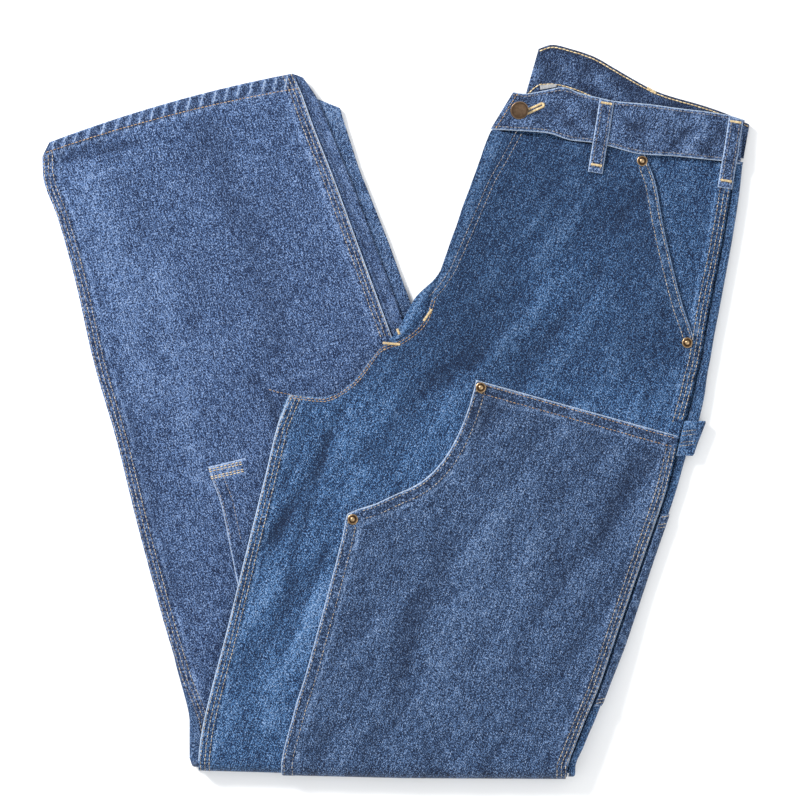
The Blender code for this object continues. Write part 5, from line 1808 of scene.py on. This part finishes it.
# Radius, height and brightness of each ring
RIVET_SHAPE = (
    (4.3, -0.6, 0.1), (4.6, -0.1, 0.5), (4.6, 0.35, 0.85), (4.35, 0.75, 1.0), (3.9, 0.9, 0.7),
    (3.3, 0.75, 0.25), (2.75, 0.55, 0.0), (2.4, 0.6, 0.0), (2.2, 1.0, 0.35), (1.85, 1.45, 0.7),
    (1.3, 1.75, 0.95), (0.7, 1.9, 1.0), (0.15, 1.95, 1.0),
)
BUTTON_SHAPE = (
    (3.2, -2.6, 0.0), (3.0, -0.6, 0.0), (6.6, -0.2, 0.1), (7.7, 0.1, 0.3), (8.0, 0.6, 0.8),
    (7.9, 1.1, 1.0), (7.5, 1.4, 0.9), (7.0, 1.35, 0.5), (6.7, 1.15, 0.15), (6.3, 1.15, 0.3),
    (5.0, 1.3, 0.45), (3.0, 1.45, 0.5), (1.0, 1.5, 0.5), (0.15, 1.5, 0.5),
)


def rivets():
    for spot in RIVETS:
        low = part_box(spot.name)[0][2] / MM
        place = Matrix.Translation((spot.x, spot.y, low))
        piece = lathe(spot.name + "_cap", RIVET_SHAPE, RIVET_METAL, place)
        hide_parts(spot.name)


def waist_button():
    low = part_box("waist_button")[0][2] / MM
    turn = Matrix.Rotation(radians(BUTTON_TURN), 4, "Z")
    tilt = Matrix.Rotation(radians(BUTTON_TILT), 4, "X")
    place = Matrix.Translation((*BUTTON, low + BUTTON_LIFT)) @ turn @ tilt
    piece = lathe("waist_button_cap", BUTTON_SHAPE, BUTTON_METAL, place, 64)
    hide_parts("waist_button")


# Sewing

def over(top, extra):
    """A face this far over a surface, which is given by the function of its height."""
    def face(x, y):
        return raised(x, y, top(x, y) + extra)
    return face


def thigh_face(extra=0.0):
    def face(x, y):
        return on_thigh(x, y, -(thigh_relief(x, y) * fading(x, y) + extra))
    return face


def shin_face(extra=0.0):
    def face(x, y):
        return raised(x, y, shin_top(x, y) + shin_relief(x, y) + extra)
    return face


def turned_on(path, reach):
    end = path[-1]
    steps = np.arange(2.0, reach, 2.0)
    return np.concatenate([path, np.stack([end[0] + 0 * steps, end[1] - steps], axis=1)])


def sew():
    under_patch = row_at(PATH_ROWS, THIGH, INSEAM_TOP_ROW)
    waist = row_at(PATH_ROWS, THIGH, WAIST_ROW)
    on_panel = thigh_face(0.12)
    on_patch = thigh_face(PATCH_GAP + CLOTH + 0.12)
    rows = PATH_ROWS
    full = inward(rows)
    outseam_lines = []
    for offset in TRIPLE:
        path = outseam(rows) + full * offset
        high = path[:, 1] > PANEL_SEWN_TO
        outseam_lines.append((path[waist:][high[waist:]], on_panel))
        low = turned_on(path[path[:, 1] < PATCH_SEWN_FROM], 14)
        outseam_lines.append((low, on_patch))
    stitches("outseam_thread", outseam_lines, TAN_THREAD)

    inseam_lines = []
    for offset in INSEAM_TRIPLE:
        path = inseam(rows) - full * offset
        inseam_lines.append((turned_on(path[under_patch:], 14), on_panel))
    stitches("inseam_thread", inseam_lines, TAN_THREAD)

    crotch = row_at(THIGH_ROWS, THIGH, CROTCH_ROW)
    fly_end = row_at(THIGH_ROWS, THIGH, FLY_END_ROW)
    leg_top = row_at(THIGH_ROWS, THIGH, INSEAM_TOP_ROW)
    edge = inseam(THIGH_ROWS)
    crotch_lines = []
    for offset in CROTCH_DOUBLE:
        path = inset(edge[fly_end:crotch + 1], offset)
        crotch_lines.append((path, on_panel))
        path = inset(edge[crotch:leg_top + 1], offset * 0.8)
        crotch_lines.append((path, on_panel))
    tail_face = shin_face(0.15)
    crotch_lines.append((np.array(CROTCH_TAIL), tail_face))
    stitches("crotch_thread", crotch_lines, ORANGE_THREAD, 0.3)

    fly_lines = [(inset(FLY_STITCH, 0.0), on_panel), (inset(FLY_STITCH, -FLY_SPACING), on_panel)]
    stitches("fly_thread", fly_lines, DULL_THREAD, THIN_THREAD)

    slash = SLASH_PATH[1:]
    slash_lines = [(inset(slash, offset)[5:], on_panel) for offset in SLASH_DOUBLE]
    stitches("pocket_thread", slash_lines, TAN_THREAD, THIN_THREAD)

    patch = stations(LEFT_PATCH, 6.0)
    left = first_line(patch)
    turn = LEFT_PATCH[PATCH_CORNER_ROW]
    corner = int(np.hypot(left[:, 0] - turn.left_x, left[:, 1] - turn.left_y).argmin())
    top_lines = [(inset(PATCH_TOP_STITCH, -offset)[2:], on_patch) for offset in PATCH_TOP_DOUBLE]
    stitches("patch_top_thread", top_lines, ORANGE_THREAD)
    side_lines = []
    for offset in DOUBLE:
        side_lines.append((inset(left[:corner], offset)[4:-2], on_patch))
        low = inset(left[corner:], offset)[3:]
        side_lines.append((turned_on(low, 12), on_patch))
    stitches("patch_side_thread", side_lines, TAN_THREAD, THIN_THREAD)

    rows = SHIN_PATH_ROWS
    full = inward(rows)
    on_shin = shin_face(0.12)
    leg_lines = []
    for offset in TRIPLE:
        path = outseam(rows) + full * offset
        leg_lines.append((path[path[:, 1] > HIDDEN_SEAM], on_shin))
        path = tucked_inseam(rows) - full * offset
        leg_lines.append((path[path[:, 1] < LEG_SEWN_TO], on_shin))
    stitches("lower_leg_thread", leg_lines, TAN_THREAD)

    hem_rows = with_hem(SHIN_ROWS, (11.2, 5.0))
    shares = np.linspace(0.01, 0.99, 60)[None, :]
    x, y = shin_line(cut(hem_rows, len(hem_rows.strip) - 3, len(hem_rows.strip) - 2), shares)
    hem_path = np.stack([x[0], y[0]], axis=1)
    hem_face = over(shin_top, HEM_RISE + 0.2)
    stitches("hem_thread", [(hem_path, hem_face)], ORANGE_THREAD)

    right_lines = []
    for offset in OPENING_DOUBLE:
        path = inset(OPENING_STITCH, offset)
        right_lines.append((path, shin_face(LAYER + 0.15)))
    stitches("opening_thread", right_lines, DULL_THREAD, THIN_THREAD)
    band_lines = []
    for offset in OPENING_BAND_LINES:
        path = inset(OPENING_BAND_STITCH, -offset)
        band_lines.append((path, shin_face(LAYER + 0.45)))
    stitches("opening_band_thread", band_lines, GOLD_THREAD, 0.36)


def band_sewing(loop_rows):
    rows = stations(FRONT_BAND, 8)
    low = first_line(rows)
    high = second_line(rows)
    band_face = over(band_top, 0.1)
    lines = [(inset(low, 2.6), band_face), (inset(high, -2.4), band_face)]
    stitches("waistband_thread", lines, DULL_THREAD, THIN_THREAD)
    stitches("waistband_end_thread", [(inset(BAND_END_STITCH, -1.8), band_face)], ORANGE_THREAD)

    rows = stations(BACK_BAND, 8)
    high = second_line(rows)
    back_face = over(back_band_top, 0.1)
    rows = stations(UNDERLAP, 6)
    lap = second_line(rows)

    def lap_face(x, y):
        return raised(x, y, UNDERLAP_TOP + 0.1)

    gold_lines = [(inset(high, -2.2), back_face), (inset(lap, -1.6), lap_face)]
    stitches("waist_edge_thread", gold_lines, GOLD_THREAD, 0.5, 3.1, 3.35)
    stitches("belt_loop_thread", loop_rows, DULL_THREAD, THIN_THREAD)


def zigzag(start, end, width, pitch):
    """Path of a bar tack or buttonhole leg: thread laid across its own line, close together."""
    start = np.asarray(start, float)
    end = np.asarray(end, float)
    run = end - start
    length = np.linalg.norm(run)
    along = run / length
    side = np.array((-along[1], along[0]))
    bars = []
    for at in np.arange(0, length + 0.01, pitch):
        centre = start + along * at
        bars.append(np.stack([centre - side * width / 2, centre + side * width / 2]))
    return bars


def bars(name, groups, finish, radius=THREAD):
    """Short bars of thread side by side, for bar tacks and buttonholes."""
    lines = [(bar, face) for group, face in groups for bar in group]
    points = []
    faces = []
    tones = []
    draws = np.random.default_rng(77)
    for bar, face in lines:
        path = bar[0] + (bar[1] - bar[0]) * np.linspace(0, 1, len(BAR_SHAPE))[:, None]
        base = face(path[:, 0], path[:, 1])
        along = (base[-1] - base[0]) / np.linalg.norm(base[-1] - base[0])
        side = np.cross(along, (0, 0, 1))
        side = side / np.linalg.norm(side)
        up = np.cross(side, along)
        first = len(points)
        for centre, (size, lift) in zip(base, BAR_SHAPE):
            points += ring(centre + up * lift * radius, side, up, radius * size)
        faces += ring_faces(first, len(BAR_SHAPE), THREAD_SIDES)
        tones += [draws.uniform(0.2, 1)] * (THREAD_SIDES * len(BAR_SHAPE))
    piece = add_piece(name, points, faces, finish, {"tone": np.array(tones)}, sharp=1.4)


def tacks(loop_tacks):
    def sliver_face(x, y):
        return on_thigh(x, y, LAYER + PATCH_GAP - 0.7)

    faces = {"thigh": thigh_face(0.3), "sliver": sliver_face, "back_band": over(back_band_top, 0.3)}
    groups = []
    for tack in BAR_TACKS:
        group = zigzag((tack.start_x, tack.start_y), (tack.end_x, tack.end_y), 2.4, 0.75)
        groups.append((group, faces[tack.on]))
    for start, end, face in loop_tacks:
        groups.append((zigzag(start, end, 2.3, 0.75), face))
    bars("bar_tacks", groups, GOLD_THREAD)

    start, end = np.array(BUTTONHOLE)
    along = (end - start) / np.linalg.norm(end - start)
    side = np.array((-along[1], along[0]))
    legs = []
    for way in (-1, 1):
        legs += zigzag(start + side * 1.5 * way, end + side * 1.5 * way, 2.2, 0.62)
    for angle in np.linspace(-pi / 2, pi / 2, 9):
        out = along * np.cos(angle) + side * np.sin(angle)
        legs.append(np.stack([end + out * 0.5, end + out * 2.8]))
    bars("buttonhole", [(legs, over(band_top, 0.15))], GOLD_THREAD, THIN_THREAD)


# Stage

def camera():
    data = bpy.data.cameras.new("camera")
    data.sensor_width = SENSOR
    data.lens = SENSOR * CAMERA_HEIGHT / VIEW_WIDTH
    data.clip_start = 0.1
    data.clip_end = 20
    made = bpy.data.objects.new("camera", data)
    made.location = (*VIEW_CENTRE, CAMERA_HEIGHT)
    bpy.context.scene.collection.objects.link(made)
    bpy.context.scene.camera = made


def floor():
    mesh = bpy.data.meshes.new("floor")
    far = FLOOR_REACH
    corners = [(-far, -far, 0), (far, -far, 0), (far, far, 0), (-far, far, 0)]
    mesh.from_pydata(corners, [], [(0, 1, 2, 3)])
    made, _, shader = new_material("pale_floor", 0.85)
    shader.inputs["Base Color"].default_value = (FLOOR_GREY, FLOOR_GREY, FLOOR_GREY, 1)
    shader.inputs["Specular IOR Level"].default_value = 0.1
    mesh.materials.append(made)
    made = bpy.data.objects.new("floor", mesh)
    made.location = (0, 0, -FLOOR_DROP)
    bpy.context.scene.collection.objects.link(made)


def area_light(lamp):
    data = bpy.data.lights.new(lamp.name, "AREA")
    data.shape = "SQUARE"
    data.size = lamp.size
    data.energy = lamp.power
    made = bpy.data.objects.new(lamp.name, data)
    made.location = lamp.place
    made.rotation_mode = "QUATERNION"
    made.rotation_quaternion = (-Vector(lamp.place)).to_track_quat("-Z", "Y")
    bpy.context.scene.collection.objects.link(made)


def lights():
    for lamp in LAMPS:
        area_light(lamp)
    world = bpy.data.worlds.new("studio")
    world.use_nodes = True
    background = world.node_tree.nodes["Background"]
    background.inputs["Color"].default_value = (*SKY, 1)
    background.inputs["Strength"].default_value = SKY_STRENGTH
    bpy.context.scene.world = world
    bpy.context.scene.view_settings.view_transform = "Standard"


def dress():
    pieces = (
        camera, floor, lights, left_front, pocket_facing, left_back, crotch_sliver, left_patch,
        hidden_layers, right_front, right_back, right_patch, front_band, back_band, underlap,
    )
    for make in pieces:
        make()
    loop_rows = []
    loop_tacks = []
    for loop in BELT_LOOPS:
        rows, ends = belt_loop(loop)
        loop_rows += rows
        loop_tacks += ends
    strap_rows = hammer_loop() + tool_pocket()
    stitches("strap_thread", strap_rows, TAN_THREAD, 0.3, 1.9, 2.3)
    rivets()
    waist_button()
    sew()
    band_sewing(loop_rows)
    tacks(loop_tacks)


dress()
